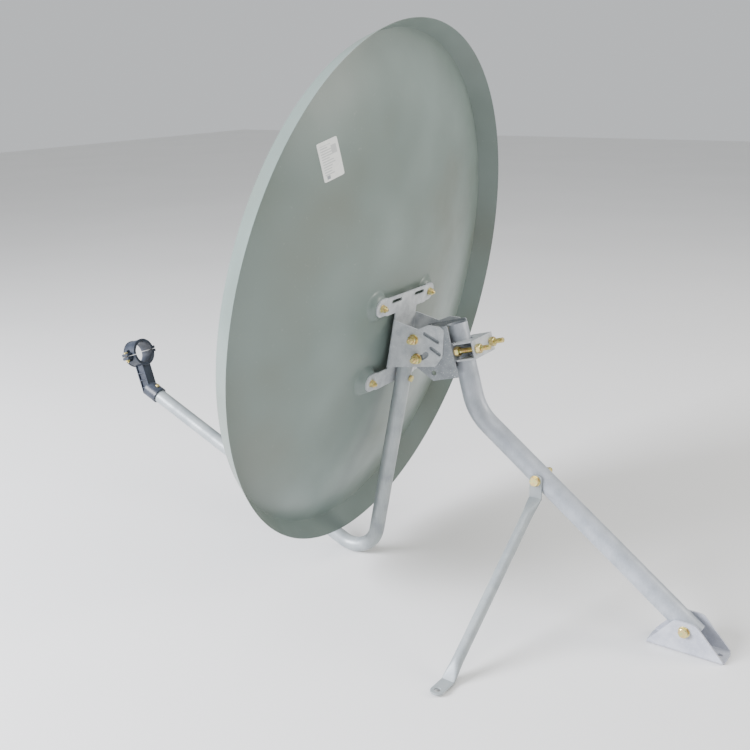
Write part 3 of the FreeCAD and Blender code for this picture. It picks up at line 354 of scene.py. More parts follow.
@dataclass(frozen=True)
class PrintedLabel(Finish):
    """Self-adhesive paper under clear film, printed with rows of plain grey bars that say nothing."""

    name: str = "printed_paper_label"
    paper: str = "E3E4E0"
    ink: str = "8E9296"

    def make(self) -> bpy.types.Material:
        """Off-white paper with three blocks of grey bars across the label's own UV map."""
        material, tree, shader = self.tree(ior=1.45, roughness=0.5, coat_weight=0.2, coat_roughness=0.3)
        place = add(tree, "UVMap").outputs["UV"]
        split = add(tree, "SeparateXYZ", {0: place})
        across, up = split.outputs["X"], split.outputs["Y"]

        def window(value: bpy.types.NodeSocket, low: float, high: float) -> bpy.types.NodeSocket:
            """1 between two limits, else 0."""
            half, middle = (high - low) / 2, (high + low) / 2
            return add(tree, "Math", {0: value, 1: middle, 2: half}, operation="COMPARE").outputs["Value"]

        rows = add(tree, "Math", {0: up, 1: 15.0}, operation="MULTIPLY").outputs["Value"]
        row = add(tree, "Math", {0: rows}, operation="FRACT").outputs["Value"]
        number = add(tree, "Math", {0: rows}, operation="FLOOR").outputs["Value"]
        seed = add(tree, "CombineXYZ", {"X": number, "Y": 3.7})
        end = add(tree, "TexWhiteNoise", {"Vector": seed.outputs["Vector"]},
                  noise_dimensions="3D").outputs["Value"]
        reach = add(tree, "Math", {0: end, 1: 0.45, 2: 0.42}, operation="MULTIPLY_ADD").outputs["Value"]
        short = add(tree, "Math", {0: across, 1: reach}, operation="LESS_THAN").outputs["Value"]
        marks = window(row, 0.3, 0.75)
        for part in (short, window(across, 0.1, 0.9), window(up, 0.13, 0.9)):
            marks = add(tree, "Math", {0: marks, 1: part}, operation="MULTIPLY").outputs["Value"]
        block = window(across, 0.62, 0.88)
        block = add(tree, "Math", {0: block, 1: window(up, 0.62, 0.84)},
                    operation="MULTIPLY").outputs["Value"]
        dot = window(across, 0.16, 0.32)
        dot = add(tree, "Math", {0: dot, 1: window(up, 0.05, 0.14)}, operation="MULTIPLY").outputs["Value"]
        ink = add(tree, "Math", {0: marks, 1: block}, operation="MAXIMUM").outputs["Value"]
        ink = add(tree, "Math", {0: ink, 1: 0.55}, operation="MULTIPLY").outputs["Value"]
        ink = add(tree, "Math", {0: ink, 1: dot}, operation="MAXIMUM").outputs["Value"]
        smudge = ramp(tree, self.noise(tree, 6, 4.0), ((0.3, grey(0.92)), (0.7, grey(1.0))))
        aged = add(tree, "Mix", {"Factor": 1.0, "A": linear(self.paper), "B": smudge}, data_type="RGBA",
                   blend_type="MULTIPLY")
        colour = add(tree, "Mix", {"Factor": ink, "A": aged.outputs["Result"], "B": linear(self.ink)},
                     data_type="RGBA")
        tree.links.new(colour.outputs["Result"], shader.inputs["Base Color"])
        self.bump(tree, shader, self.noise(tree, 1.1, 3.0), 0.02, 0.2)
        return material


@dataclass(frozen=True)
class StudioFloor(Finish):
    """Matt pale floor."""

    name: str = "matt_pale_floor"
    colour: str = "E9E8E6"
    haze: str = "E6E5E3"

    def make(self) -> bpy.types.Material:
        """Even pale floor with a trace of unevenness."""
        material, tree, shader = self.tree(roughness=0.75, specular_ior_level=0.25)
        haze = self.noise(tree, 600, 2.0)
        tree.links.new(ramp(tree, haze, ((0.3, linear(self.haze)), (0.7, linear(self.colour)))),
                       shader.inputs["Base Color"])
        return material


class Finishes(Enum):
    """Finishes of the object, each with the record's slot it answers to."""

    PAINT = (PowderCoat(), "reflector_paint")
    PRESSED = (CoatedPress(), "pressed_steel")
    # The saddle's coat is the bracket's coat made darker. This is painted shade, so that the bracket's slots
    # read dark where the saddle shows through them.
    SADDLE = (CoatedPress(name="pressed_saddle_painted_shade", base="8F9498", shade="7C8186"), "pressed_steel")
    MAST = (Galvanised(name="galvanised_mast_tube", turn=(-0.929, 0.0, 0.0)), "mast_tube")
    TUBE = (Galvanised(name="galvanised_small_tube", base="A3A9AA", dull="90979A"), "galvanised_steel")
    FOOT = (CoatedPress(name="galvanised_pressed_foot", base="C0C3CC", shade="A9ACB7"), "galvanised_steel")
    ZINC = (YellowZinc(), "yellow_zinc")
    PLASTIC = (MouldedPlastic(), "dark_plastic")
    LABEL = (PrintedLabel(), "label_paper")

    def material(self) -> bpy.types.Material:
        """The finish's material, made once."""
        finish, _ = self.value
        found = bpy.data.materials.get(finish.name)
        return found or finish.make()

    @property
    def slot(self) -> str:
        """Name of the record's slot."""
        return self.value[1]


# ---------------------------------------------------------------- mesh tools
def fresh() -> bmesh.types.BMesh:
    """New empty mesh, in millimetres of a local frame."""
    return bmesh.new()


def move(bm: bmesh.types.BMesh, place: Matrix, verts: Optional[Iterable] = None) -> None:
    """Move vertices, or the whole mesh, by a matrix."""
    bmesh.ops.transform(bm, matrix=place, verts=list(bm.verts if verts is None else verts))


def join(bm: bmesh.types.BMesh, other: bmesh.types.BMesh, place: Matrix = Matrix()) -> None:
    """Copy another mesh into this one at a place, and free it."""
    move(other, place)
    held = bpy.data.meshes.new("held")
    other.to_mesh(held)
    other.free()
    bm.from_mesh(held)
    bpy.data.meshes.remove(held)


def extend(bm: bmesh.types.BMesh, edges: Sequence, change: Callable[[Vector], Vector]) -> list:
    """Pull a loop of edges out into a new strip of faces.

    Args:
        bm: mesh.
        edges: loop to pull.
        change: new place of each of its vertices.

    Returns:
        The new loop's edges.
    """
    made = bmesh.ops.extrude_edge_only(bm, edges=list(edges))["geom"]
    for vert in (item for item in made if isinstance(item, bmesh.types.BMVert)):
        vert.co = change(vert.co)
    return [item for item in made if isinstance(item, bmesh.types.BMEdge) and item.is_boundary]


def ring(bm: bmesh.types.BMesh, radius: float, segments: int, place: Matrix = Matrix()) -> list:
    """Open circle of edges."""
    verts = bmesh.ops.create_circle(bm, radius=radius, segments=segments, cap_ends=False,
                                    matrix=place)["verts"]
    return list({edge for vert in verts for edge in vert.link_edges})


def lathe(bm: bmesh.types.BMesh, profile: Sequence[Point], segments: int = 40, closed: bool = True) -> None:
    """Turn a profile of (radius, height) points about Z."""
    verts = [bm.verts.new((radius, 0, height)) for radius, height in profile]
    ends = zip(verts, verts[1:] + verts[:1] if closed else verts[1:])
    edges = [bm.edges.new(pair) for pair in ends]
    bmesh.ops.spin(bm, geom=verts + edges, axis=(0, 0, 1), cent=(0, 0, 0), angle=math.tau, steps=segments,
                   use_merge=True)
    bmesh.ops.remove_doubles(bm, verts=list(bm.verts), dist=1e-3)


def outward(bm: bmesh.types.BMesh) -> None:
    """Make every face point out of its shell."""
    bmesh.ops.recalc_face_normals(bm, faces=list(bm.faces))


def soften(bm: bmesh.types.BMesh, width: float, segments: int = 2, above: float = 40.0) -> None:
    """Round every edge sharper than an angle."""
    limit = math.radians(above)
    sharp = [edge for edge in bm.edges if len(edge.link_faces) == 2 and edge.calc_face_angle(0) > limit]
    if sharp:
        bmesh.ops.bevel(bm, geom=sharp, offset=width, offset_type="OFFSET", segments=segments, profile=0.5,
                        affect="EDGES", clamp_overlap=True, material=-1)


def settle(bm: bmesh.types.BMesh, name: str, place: Matrix, finish: Finishes, body: str,
           nodes: Sequence[str] = (), crease: float = 38.0) -> bpy.types.Object:
    """Finish a piece: put its mesh in the row frame and hang it on its body.

    Args:
        bm: mesh in millimetres of a local frame, freed here.
        name: piece's name.
        place: local frame.
        finish: what it is made of.
        body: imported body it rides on.
        nodes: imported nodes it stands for.
        crease: angle past which shading breaks.

    Returns:
        The piece.
    """
    move(bm, Matrix.Scale(MM, 4) @ place)
    mesh = bpy.data.meshes.new(name)
    bm.to_mesh(mesh)
    bm.free()
    mesh.shade_smooth()
    mesh.set_sharp_from_angle(angle=math.radians(crease))
    mesh.materials.append(finish.material())
    piece = bpy.data.objects.new(name, mesh)
    bpy.context.scene.collection.objects.link(piece)
    piece.modifiers.new("even_shading", "WEIGHTED_NORMAL").keep_sharp = True
    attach(piece, body)
    if nodes:
        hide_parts(*nodes)
    finish.slot
    log.info("%s: %d faces on %s", name, len(mesh.polygons), body)
    return piece


def rounded(corners: Sequence[tuple], step: float = 12.0) -> list[Point]:
    """Outline with its corners rounded.

    Args:
        corners: (x, y) or (x, y, radius) round the outline.
        step: turn of one segment of an arc, in degrees.

    Returns:
        Points of the outline.
    """
    points = []
    count = len(corners)
    for index, corner in enumerate(corners):
        here = Vector(corner[:2])
        radius = corner[2] if len(corner) > 2 else 0.0
        before = (Vector(corners[index - 1][:2]) - here).normalized()
        after = (Vector(corners[(index + 1) % count][:2]) - here).normalized()
        between = before.angle(after)
        if radius <= 0 or between > math.radians(175):
            points.append(tuple(here))
            continue
        reach = radius / math.tan(between / 2)
        centre = here + (before + after).normalized() * radius / math.sin(between / 2)
        first = here + before * reach - centre
        sweep = first.angle_signed(here + after * reach - centre)
        parts = max(2, round(abs(math.degrees(sweep)) / step))
        for part in range(parts + 1):
            angle = -sweep * part / parts
            turn = Matrix.Rotation(angle, 2)
            points.append(tuple(centre + turn @ first))
    return points


def circle(x: float, y: float, radius: float, count: int = 32) -> list[Point]:
    """Round hole's outline."""
    return [(x + radius * math.cos(math.tau * i / count),
             y + radius * math.sin(math.tau * i / count)) for i in range(count)]


def slot(first: Point, last: Point, radius: float, count: int = 12) -> list[Point]:
    """Straight slot's outline between its two end centres."""
    along = math.atan2(last[1] - first[1], last[0] - first[0])
    points = []
    for centre, start in ((last, along - math.pi / 2), (first, along + math.pi / 2)):
        for index in range(count + 1):
            angle = start + math.pi * index / count
            points.append((centre[0] + radius * math.cos(angle), centre[1] + radius * math.sin(angle)))
    return points


def arc_slot(centre: Point, radius: float, first: float, last: float, half: float) -> list[Point]:
    """Curved slot's outline about a centre, between two angles in radians."""
    points = []
    steps = 16
    for reach, start, end in ((radius + half, first, last), (radius - half, last, first)):
        for index in range(steps + 1):
            angle = start + (end - start) * index / steps
            points.append((centre[0] + reach * math.cos(angle), centre[1] + reach * math.sin(angle)))
        middle = (centre[0] + radius * math.cos(end), centre[1] + radius * math.sin(end))
        side = 1 if reach > radius else -1
        for index in range(1, 8):
            angle = end + (0 if side > 0 else math.pi) + math.pi * index / 8 * (1 if last > first else -1)
            points.append((middle[0] + half * math.cos(angle), middle[1] + half * math.sin(angle)))
    return points


class Sheet:
    """Sheet-metal blank in its own XY plane that is cut, folded and then given its gauge."""

    def __init__(self, outline: Sequence[Point], holes: Sequence[Sequence[Point]] = ()) -> None:
        """Cut the blank.

        Args:
            outline: points round the blank.
            holes: points round each hole.
        """
        self.bm = fresh()
        edges = []
        for loop in (outline, *holes):
            verts = [self.bm.verts.new((x, y, 0)) for x, y in loop]
            edges += [self.bm.edges.new(pair) for pair in zip(verts, verts[1:] + verts[:1])]
        bmesh.ops.triangle_fill(self.bm, use_beauty=True, use_dissolve=False, edges=edges, normal=(0, 0, 1))
        for face in self.bm.faces:
            if face.normal.z < 0:
                face.normal_flip()

    def score(self, at: float, axis: int = 0) -> None:
        """Cut the mesh along a line across X or Y, so that it can bend there."""
        normal = Vector((0, 0, 0))
        normal[axis] = 1.0
        bmesh.ops.bisect_plane(self.bm, geom=list(self.bm.verts) + list(self.bm.edges) + list(self.bm.faces),
                               dist=1e-4, plane_co=normal * at, plane_no=normal)

    def fold(self, at: float, radius: float, degrees: float, where: Callable[[Vector], bool], axis: int = 0,
             side: int = 1, steps: int = 6) -> None:
        """Fold the blank up towards +Z past a line across one axis.

        Args:
            at: line's distance from the middle, on its side.
            radius: bend radius of the sheet's own layer.
            degrees: turn.
            where: which points are folded.
            axis: 0 for a line across X, 1 for one across Y.
            side: 1 or -1, the side of the middle that is folded.
            steps: segments of the bend.
        """
        turn = math.radians(degrees)
        length = radius * turn
        for index in range(steps + 1):
            self.score(side * (at + length * index / steps), axis)
        for vert in self.bm.verts:
            run = vert.co[axis] * side - at
            if run <= 1e-6 or not where(vert.co):
                continue
            angle = min(run / radius, turn)
            past = max(run - length, 0.0)
            vert.co[axis] = side * (at + radius * math.sin(angle) + past * math.cos(turn))
            vert.co.z += radius * (1 - math.cos(angle)) + past * math.sin(turn)

    def thicken(self, gauge: float, edge: float = 0.5) -> bmesh.types.BMesh:
        """Give the sheet its gauge about its middle layer and break its edges.

        Args:
            gauge: thickness.
            edge: width of the broken edges.

        Returns:
            The finished mesh.
        """
        outward(self.bm)
        self.bm.normal_update()
        for vert, normal in [(vert, vert.normal.copy()) for vert in self.bm.verts]:
            vert.co += normal * gauge / 2
        bmesh.ops.solidify(self.bm, geom=list(self.bm.faces), thickness=gauge)
        outward(self.bm)
        soften(self.bm, edge, 2, 55)
        return self.bm


# ---------------------------------------------------------------- fasteners
@dataclass(frozen=True)
class Thread:
    """Standard coarse fastener sizes, in millimetres."""

    wide: float
    across: float
    pitch: float

    @property
    def head(self) -> float:
        """Height of the hexagon head."""
        return self.wide * 0.65

    @property
    def nut(self) -> float:
        """Height of the nut."""
        return self.wide * 0.8


M8 = Thread(8.0, 13.0, 1.25)
M6 = Thread(6.0, 10.0, 1.0)
M4 = Thread(4.0, 7.0, 0.7)


@dataclass
class Fasteners:
    """One node's bolts, nuts or washers, built together."""

    name: str
    frame: Matrix
    body: str
    bm: bmesh.types.BMesh = field(default_factory=fresh)

    def hexagon(self, size: Thread, height: float, low: bool, bore: float = 0.0) -> bmesh.types.BMesh:
        """Hexagon from z = 0 to a height with its corners turned off at the top.

        Args:
            size: thread that it belongs to.
            height: height.
            low: True to turn off its lower corners too.
            bore: radius of a threaded bore, 0 for a solid head.

        Returns:
            The hexagon's mesh.
        """
        flat = size.across / 2
        crown = flat * 0.95
        segments = 48
        bm = fresh()

        def outline(co: Vector, level: float, sign: int) -> Vector:
            """Point of the hexagon's side, lowered where a corner is turned off."""
            angle = math.atan2(co.y, co.x)
            radius = flat / math.cos((angle + math.pi / 6) % (math.pi / 3) - math.pi / 6)
            drop = max(0.0, (radius - crown) * math.tan(math.radians(30))) * sign
            return Vector((radius * math.cos(angle), radius * math.sin(angle), level - drop))

        def at_radius(radius: float, level: float) -> Callable[[Vector], Vector]:
            """Move to a radius and a level."""
            def change(co: Vector) -> Vector:
                flat_co = Vector((co.x, co.y, 0)).normalized() * radius
                return Vector((flat_co.x, flat_co.y, level))
            return change

        start = ring(bm, crown, segments)
        edges = extend(bm, start, lambda co: outline(co, 0.0, -1 if low else 0))
        edges = extend(bm, edges, lambda co: outline(co, height, 1))
        edges = extend(bm, edges, at_radius(crown, height))
        if bore:
            edges = extend(bm, edges, at_radius(bore * 1.12, height))
            edges = extend(bm, edges, at_radius(bore, height - bore * 0.12))
            edges = extend(bm, edges, at_radius(bore, bore * 0.12))
            edges = extend(bm, edges, at_radius(bore * 1.12, 0))
            extend(bm, edges, at_radius(crown, 0))
            bmesh.ops.remove_doubles(bm, verts=list(bm.verts), dist=1e-3)
        else:
            edges = extend(bm, edges, at_radius(crown * 0.9, height))
            bmesh.ops.holes_fill(bm, edges=edges, sides=0)
            bmesh.ops.holes_fill(bm, edges=start, sides=0)
        outward(bm)
        return bm

    def shank(self, size: Thread, length: float, threaded: float) -> bmesh.types.BMesh:
        """Shank up +Z with a rolled thread at its tip.

        Args:
            size: thread.
            length: length of the shank.
            threaded: length of the thread.

        Returns:
            The shank's mesh.
        """
        bm = fresh()
        radius = size.wide / 2
        root = radius - 0.55 * size.pitch
        start = max(length - threaded, 0.5)
        lathe(bm, [(0, -0.6), (radius, -0.6), (radius, start), (root, start + 0.4), (root, length - 0.6),
                   (root - 0.5, length), (0, length)], 32, closed=False)
        turns = max(1, int((length - 0.5 - start) / size.pitch) - 1)
        thread = fresh()
        pitch = size.pitch
        shape = [(root - 0.05, 0), (radius, pitch * 0.42), (radius, pitch * 0.58), (root - 0.05, pitch)]
        verts = [thread.verts.new((r, 0, start + 0.3 + z)) for r, z in shape]
        edges = [thread.edges.new(pair) for pair in zip(verts, verts[1:])]
        steps = 28
        bmesh.ops.spin(thread, geom=verts + edges, axis=(0, 0, 1), cent=(0, 0, 0), dvec=(0, 0, pitch / steps),
                       angle=math.tau * turns, steps=steps * turns)
        bmesh.ops.remove_doubles(thread, verts=list(thread.verts), dist=1e-3)
        outward(thread)
        join(bm, thread)
        outward(bm)
        return bm

    def bolt(self, size: Thread, length: float, place: Matrix, threaded: float = 22.0) -> None:
        """Hexagon bolt with its head under the place and its shank up +Z."""
        head = self.hexagon(size, size.head, False)
        soften(head, 0.25, 2, 25)
        join(self.bm, head, place @ turned("X", 180))
        join(self.bm, self.shank(size, length, threaded), place)

    def screw(self, size: Thread, length: float, place: Matrix) -> None:
        """Round-headed screw with its domed head under the place and its shank up +Z."""
        head = fresh()
        wide, high = size.wide * 1.25, size.wide / 2
        profile = [(0.0, 0.0)]
        for index in range(9):
            angle = math.pi / 2 * index / 8
            profile.append((wide * math.cos(angle) + 0.01, -high * math.sin(angle)))
        lathe(head, profile, 40, closed=False)
        outward(head)
        join(self.bm, head, place)
        join(self.bm, self.shank(size, length, length - 2), place)

    def nut(self, size: Thread, place: Matrix) -> None:
        """Hexagon nut standing on the place."""
        body = self.hexagon(size, size.nut, True, bore=size.wide / 2)
        join(self.bm, body, place)

    def washer(self, size: Thread, place: Matrix, rim: float = 1.05, high: float = 1.5) -> None:
        """Stamped washer with one rolled edge and one sharper one."""
        body = fresh()
        inner, outer = size.wide / 2 + 0.2, size.wide * rim
        lathe(body, [(inner, 0), (outer - 0.3, 0), (outer, 0.3), (outer, high - 0.5), (outer - 0.5, high),
                     (inner + 0.2, high), (inner, high - 0.2)], 48)
        outward(body)
        join(self.bm, body, place)

    def done(self) -> bpy.types.Object:
        """Settle the node's fasteners as one piece."""
        return settle(self.bm, f"{self.name}_forged", self.frame, Finishes.ZINC, self.body, [self.name], 35)


def cross_bolt(prefix: str, frame_at: Matrix, body: str, near: float, far: float, y: float = 0.0,
               z: float = 0.0,
               head_far: bool = False, washers: bool = True) -> None:
    """Large bolt, nut and washers across X, clamping everything between two faces.

    Args:
        prefix: start of the node names.
        frame_at: local frame.
        body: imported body.
        near: face on +X.
        far: face on -X.
        y: place along Y.
        z: place along Z.
        head_far: True where the head is on -X.
        washers: True where the node PREFIX_washers belongs to it.
    """
    high = 1.5
    length = near - far + 2 * high + M8.nut + 9
    head, tail = (far - high, near + high) if head_far else (near + high, far - high)
    way = (Facing.X if head_far else Facing.BACK_X).value
    bolt = Fasteners(f"{prefix}_bolt", frame_at, body)
    bolt.bolt(M8, length, shifted(head, y, z) @ way, 26)
    bolt.done()
    nut = Fasteners(f"{prefix}_nut", frame_at, body)
    nut.nut(M8, shifted(tail, y, z) @ way)
    nut.done()
    if washers:
        pair = Fasteners(f"{prefix}_washers", frame_at, body)
        pair.washer(M8, shifted(near, y, z) @ Facing.X.value)
        pair.washer(M8, shifted(far, y, z) @ Facing.BACK_X.value)
        pair.done()


# ---------------------------------------------------------------- tubes
@dataclass
class Tube:
    """Round tube along straight runs and tangent bends in the plane X = 0 of a local frame."""

    outer: float
    wall: float
    start: Vector
    heading: float
    segments: int = 48

    def skin(self, bm: bmesh.types.BMesh, radius: float, runs: Sequence[tuple]) -> tuple[list, list]:
        """One skin of the tube.

        Args:
            bm: mesh.
            radius: skin's radius.
            runs: ("run", length) or ("bend", radius, degrees); positive degrees turn from +Z towards -Y.

        Returns:
            The first and the last loop of edges.
        """
        place = Matrix.Translation(self.start) @ turned("X", self.heading)
        first = loop = ring(bm, radius, self.segments, place)
        for run in runs:
            if run[0] == "run":
                parts = max(1, round(run[1] / 60))
                steps = [shifted(z=run[1] / parts)] * parts
            else:
                _, bend, degrees = run
                side = math.copysign(1.0, degrees)
                parts = max(4, round(abs(degrees) / 4))
                centre = shifted(y=-bend * side)
                steps = [centre @ turned("X", degrees / parts) @ centre.inverted()] * parts
            for step in steps:
                change = place @ step @ place.inverted()
                loop = extend(bm, loop, lambda co: change @ co)
                place = place @ step
        return first, loop

    def make(self, runs: Sequence[tuple]) -> bmesh.types.BMesh:
        """Both skins, joined at the tube's ends with broken edges."""
        bm = fresh()
        out_first, out_last = self.skin(bm, self.outer / 2, runs)
        in_first, in_last = self.skin(bm, self.outer / 2 - self.wall, runs)
        bmesh.ops.bridge_loops(bm, edges=out_first + in_first)
        bmesh.ops.bridge_loops(bm, edges=out_last + in_last)
        outward(bm)
        soften(bm, 0.35, 2, 60)
        return bm


@dataclass
class Mast:
    """Bent mast tube with the strut's bolt through it."""

    outer: float = 32.0
    wall: float = 2.0
    tail: float = 15.0
    bend: float = 80.0

    def build(self) -> None:
        """Make the tube and the fasteners that ride with it."""
        cut = self.bend * math.tan(math.radians(LAYOUT.mast_turn) / 2)
        runs = [("run", self.tail + LAYOUT.mast_lower - cut), ("bend", self.bend, -LAYOUT.mast_turn),
                ("run", LAYOUT.mast_upper - cut)]
        tube = Tube(self.outer, self.wall, Vector((0, 0, -self.tail)), 0.0, 64).make(runs)
        settle(tube, "mast_drawn_tube", LAYOUT.mast(), Finishes.MAST, "mast", ["mast"])
        half = self.outer / 2
        cross_bolt("strut", LAYOUT.strut_bolt(), "mast", half + 3.4, -half - 0.1)


@dataclass
class Strut:
    """Side strut: a tube with both ends crushed flat, bent and drilled."""

    outer: float = 16.0
    flat: float = 3.0
    width: float = 20.0
    clear: float = 2.5
    stand: float = 0.4
    drop: float = 28.0
    tab: float = 26.0
    neck: float = 34.0
    reach: float = 288.0
    ahead: float = 6.5
    hole: float = 4.5
    segments: int = 40

    def tip(self, length: float, hole: float) -> bmesh.types.BMesh:
        """Crushed end: a flat from its bend at x = 0 to its hole, rounded past it."""
        half = self.width / 2
        outline = rounded([(-2.5, -half), (length + half, -half, half - 0.5),
                           (length + half, half, half - 0.5), (-2.5, half)])
        sheet = Sheet(outline, [circle(length, 0, hole)])
        return sheet.thicken(self.flat, 0.9)

    def section(self, angle: float, share: float) -> Point:
        """Point round the neck, from the flat at a share of 0 to the round tube at 1."""
        blend = share * share * (3 - 2 * share)
        power = 0.32 + 0.68 * blend
        wide = self.width / 2 + (self.outer - self.width) / 2 * blend
        thin = self.flat / 2 + (self.outer - self.flat) / 2 * blend
        c, s = math.cos(angle), math.sin(angle)
        return (wide * math.copysign(abs(c) ** power, c), thin * math.copysign(abs(s) ** power, s))

    def build(self) -> None:
        """Make the tube between its two flats."""
        bolt = LAYOUT.strut_bolt().translation
        thick = self.flat / 2
        upper = bolt + Vector((16.0 + self.stand + thick, 0, -self.drop))
        foot = Vector((self.reach, bolt.y - self.ahead, self.clear + thick))
        heading = Vector((foot.x - upper.x, foot.y - upper.y, 0)).normalized()
        lower = foot - heading * self.tab
        along = lower - upper
        side = Vector((0, 0, 1)).cross(heading)
        across = along.cross(side).normalized()
        side = across.cross(along).normalized()
        tube_at = Matrix.Translation(upper) @ Matrix((side, across, along.normalized())).transposed().to_4x4()
        bm = fresh()
        length = along.length
        levels = [self.neck * index / 10 for index in range(11)]
        levels += [length - level for level in reversed(levels)]
        loop = ring(bm, 1.0, self.segments)
        start = list(loop)
        for level in levels[1:]:
            loop = extend(bm, loop, lambda co: Vector((co.x, co.y, level)))
        for vert in bm.verts:
            share = min(1.0, min(vert.co.z, length - vert.co.z) / self.neck)
            vert.co = Vector((*self.section(math.atan2(vert.co.y, vert.co.x), share), vert.co.z))
        bmesh.ops.holes_fill(bm, edges=loop + start, sides=0)
        outward(bm)
        move(bm, tube_at)
        top = Matrix.Translation(upper) @ turned("Y", -90)
        join(bm, self.tip(self.drop, 4.05), top)
        level_at = Matrix((heading, Vector((0, 0, 1)).cross(heading),
                           Vector((0, 0, 1)))).transposed().to_4x4()
        join(bm, self.tip(self.tab, self.hole), Matrix.Translation(lower) @ level_at)
        settle(bm, "strut_crushed_tube", Matrix(), Finishes.TUBE, "strut", ["strut"])


# ---------------------------------------------------------------- foot
@dataclass
class Foot:
    """Folded foot bracket that the mast pivots in."""

    inner: float = 33.4
    gauge: float = 3.0
    front: float = 54.0
    back: float = 58.0
    ear_front: float = 53.0
    ear_back: float = 56.0
    bend: float = 3.0
    hole: float = 4.5
    hole_front: float = 44.0
    hole_back: float = 46.0

    def build(self) -> None:
        """Cut, fold and dress the bracket, and bolt it."""
        middle = self.inner / 2 + self.gauge / 2
        at = middle - self.bend
        lie = at + math.pi / 2 * self.bend - (self.gauge / 2 + self.bend)

        def up(z: float) -> float:
            """Distance from the middle of the blank that ends up at a height."""
            return lie + z

        edge = self.inner / 2 + self.gauge
        front, back = self.ear_front, self.ear_back
        half = [(at, -self.front, 3), (at, -front), (up(4), -front, 4), (up(48.9), -15.5, 13.9),
                (up(48.9), 15.5, 13.9),
                (up(4), back, 4), (at, back), (at, self.back, 3)]
        outline = half + [(-x, y, *rest) for x, y, *rest in reversed(half)]
        holes = [circle(0, -self.hole_front, self.hole), circle(0, self.hole_back, self.hole)]
        for side in (1, -1):
            holes.append(circle(side * up(LAYOUT.foot_height), 0, 4.05))
        sheet = Sheet(rounded(outline), holes)
        for side in (1, -1):
            sheet.fold(at, self.bend, 90, lambda co: -front - 0.2 < co.y < back + 0.2, 0, side)
        bm = sheet.thicken(self.gauge, 0.6)
        settle(bm, "foot_folded_bracket", shifted(z=self.gauge / 2), Finishes.FOOT, "foot", ["foot_bracket"])
        cross_bolt("foot", LAYOUT.foot(), "foot", edge, -edge)


# ---------------------------------------------------------------- clamp on the mast
@dataclass
class MastClamp:
    """Saddle and rear jaw round the mast's top, with the elevation bolts across the saddle."""

    across: float = 23.1
    below: float = 40.0
    jaw_web: float = 36.5
    gauge: float = 2.5
    cheek: float = 35.5
    lock_radius: float = 30.0
    lock_lean: float = 4.0
    washer_rim: float = 0.86

    def dressed(self, node: str, name: str, finish: Finishes) -> None:
        """Copy of a packed pressing with its edges broken and its sheet edges rounded.

        Args:
            node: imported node.
            name: new piece's name.
            finish: its finish.
        """
        bm = fresh()
        bm.from_mesh(frame["nodes"][node].data)
        move(bm, Matrix.Scale(1 / MM, 4))
        bmesh.ops.remove_doubles(bm, verts=list(bm.verts), dist=1e-3)
        flat = [edge for edge in bm.edges if len(edge.link_faces) == 2]
        bmesh.ops.dissolve_limit(bm, angle_limit=math.radians(1.5), verts=list(bm.verts), edges=flat)
        soften(bm, 0.5, 2, 50)
        bmesh.ops.triangulate(bm, faces=[face for face in bm.faces if len(face.verts) > 4])
        settle(bm, name, Matrix(), finish, "clamp", [node])

    def build(self) -> None:
        """Make the two pressings and their fasteners."""
        # The saddle takes the darker coat, as painted shade behind the bracket's slots.
        self.dressed("mast_saddle", "saddle_pressing", Finishes.SADDLE)
        self.dressed("clamp_jaw", "jaw_pressing", Finishes.PRESSED)
        head = LAYOUT.head()
        length = self.gauge + self.jaw_web + 1.5 + M8.nut + 15
        bolts = Fasteners("clamp_bolts", head, "clamp")
        nuts = Fasteners("clamp_nuts", head, "clamp")
        washers = Fasteners("clamp_washers", head, "clamp")
        for x in (self.across, -self.across):
            bolts.bolt(M8, length, shifted(x, -self.gauge, -self.below) @ Facing.Y.value, 48)
            for y in (0.0, self.jaw_web):
                washers.washer(M8, shifted(x, y, -self.below) @ Facing.Y.value, self.washer_rim)
                nuts.nut(M8, shifted(x, y + 1.5, -self.below) @ Facing.Y.value)
        for item in (bolts, nuts, washers):
            item.done()
        hinge = (-LAYOUT.hinge_ahead, -LAYOUT.hinge_below)
        lean = math.radians(self.lock_lean)
        lock = (hinge[0] - self.lock_radius * math.sin(lean), hinge[1] - self.lock_radius * math.cos(lean))
        discs = Fasteners("elevation_washers", head, "clamp")
        for prefix, (y, z) in (("hinge", hinge), ("lock", lock)):
            cross_bolt(prefix, head, "clamp", self.cheek, -self.cheek, y, z, head_far=True, washers=False)
            discs.washer(M8, shifted(self.cheek, y, z) @ Facing.X.value)
            discs.washer(M8, shifted(-self.cheek, y, z) @ Facing.BACK_X.value)
        discs.done()


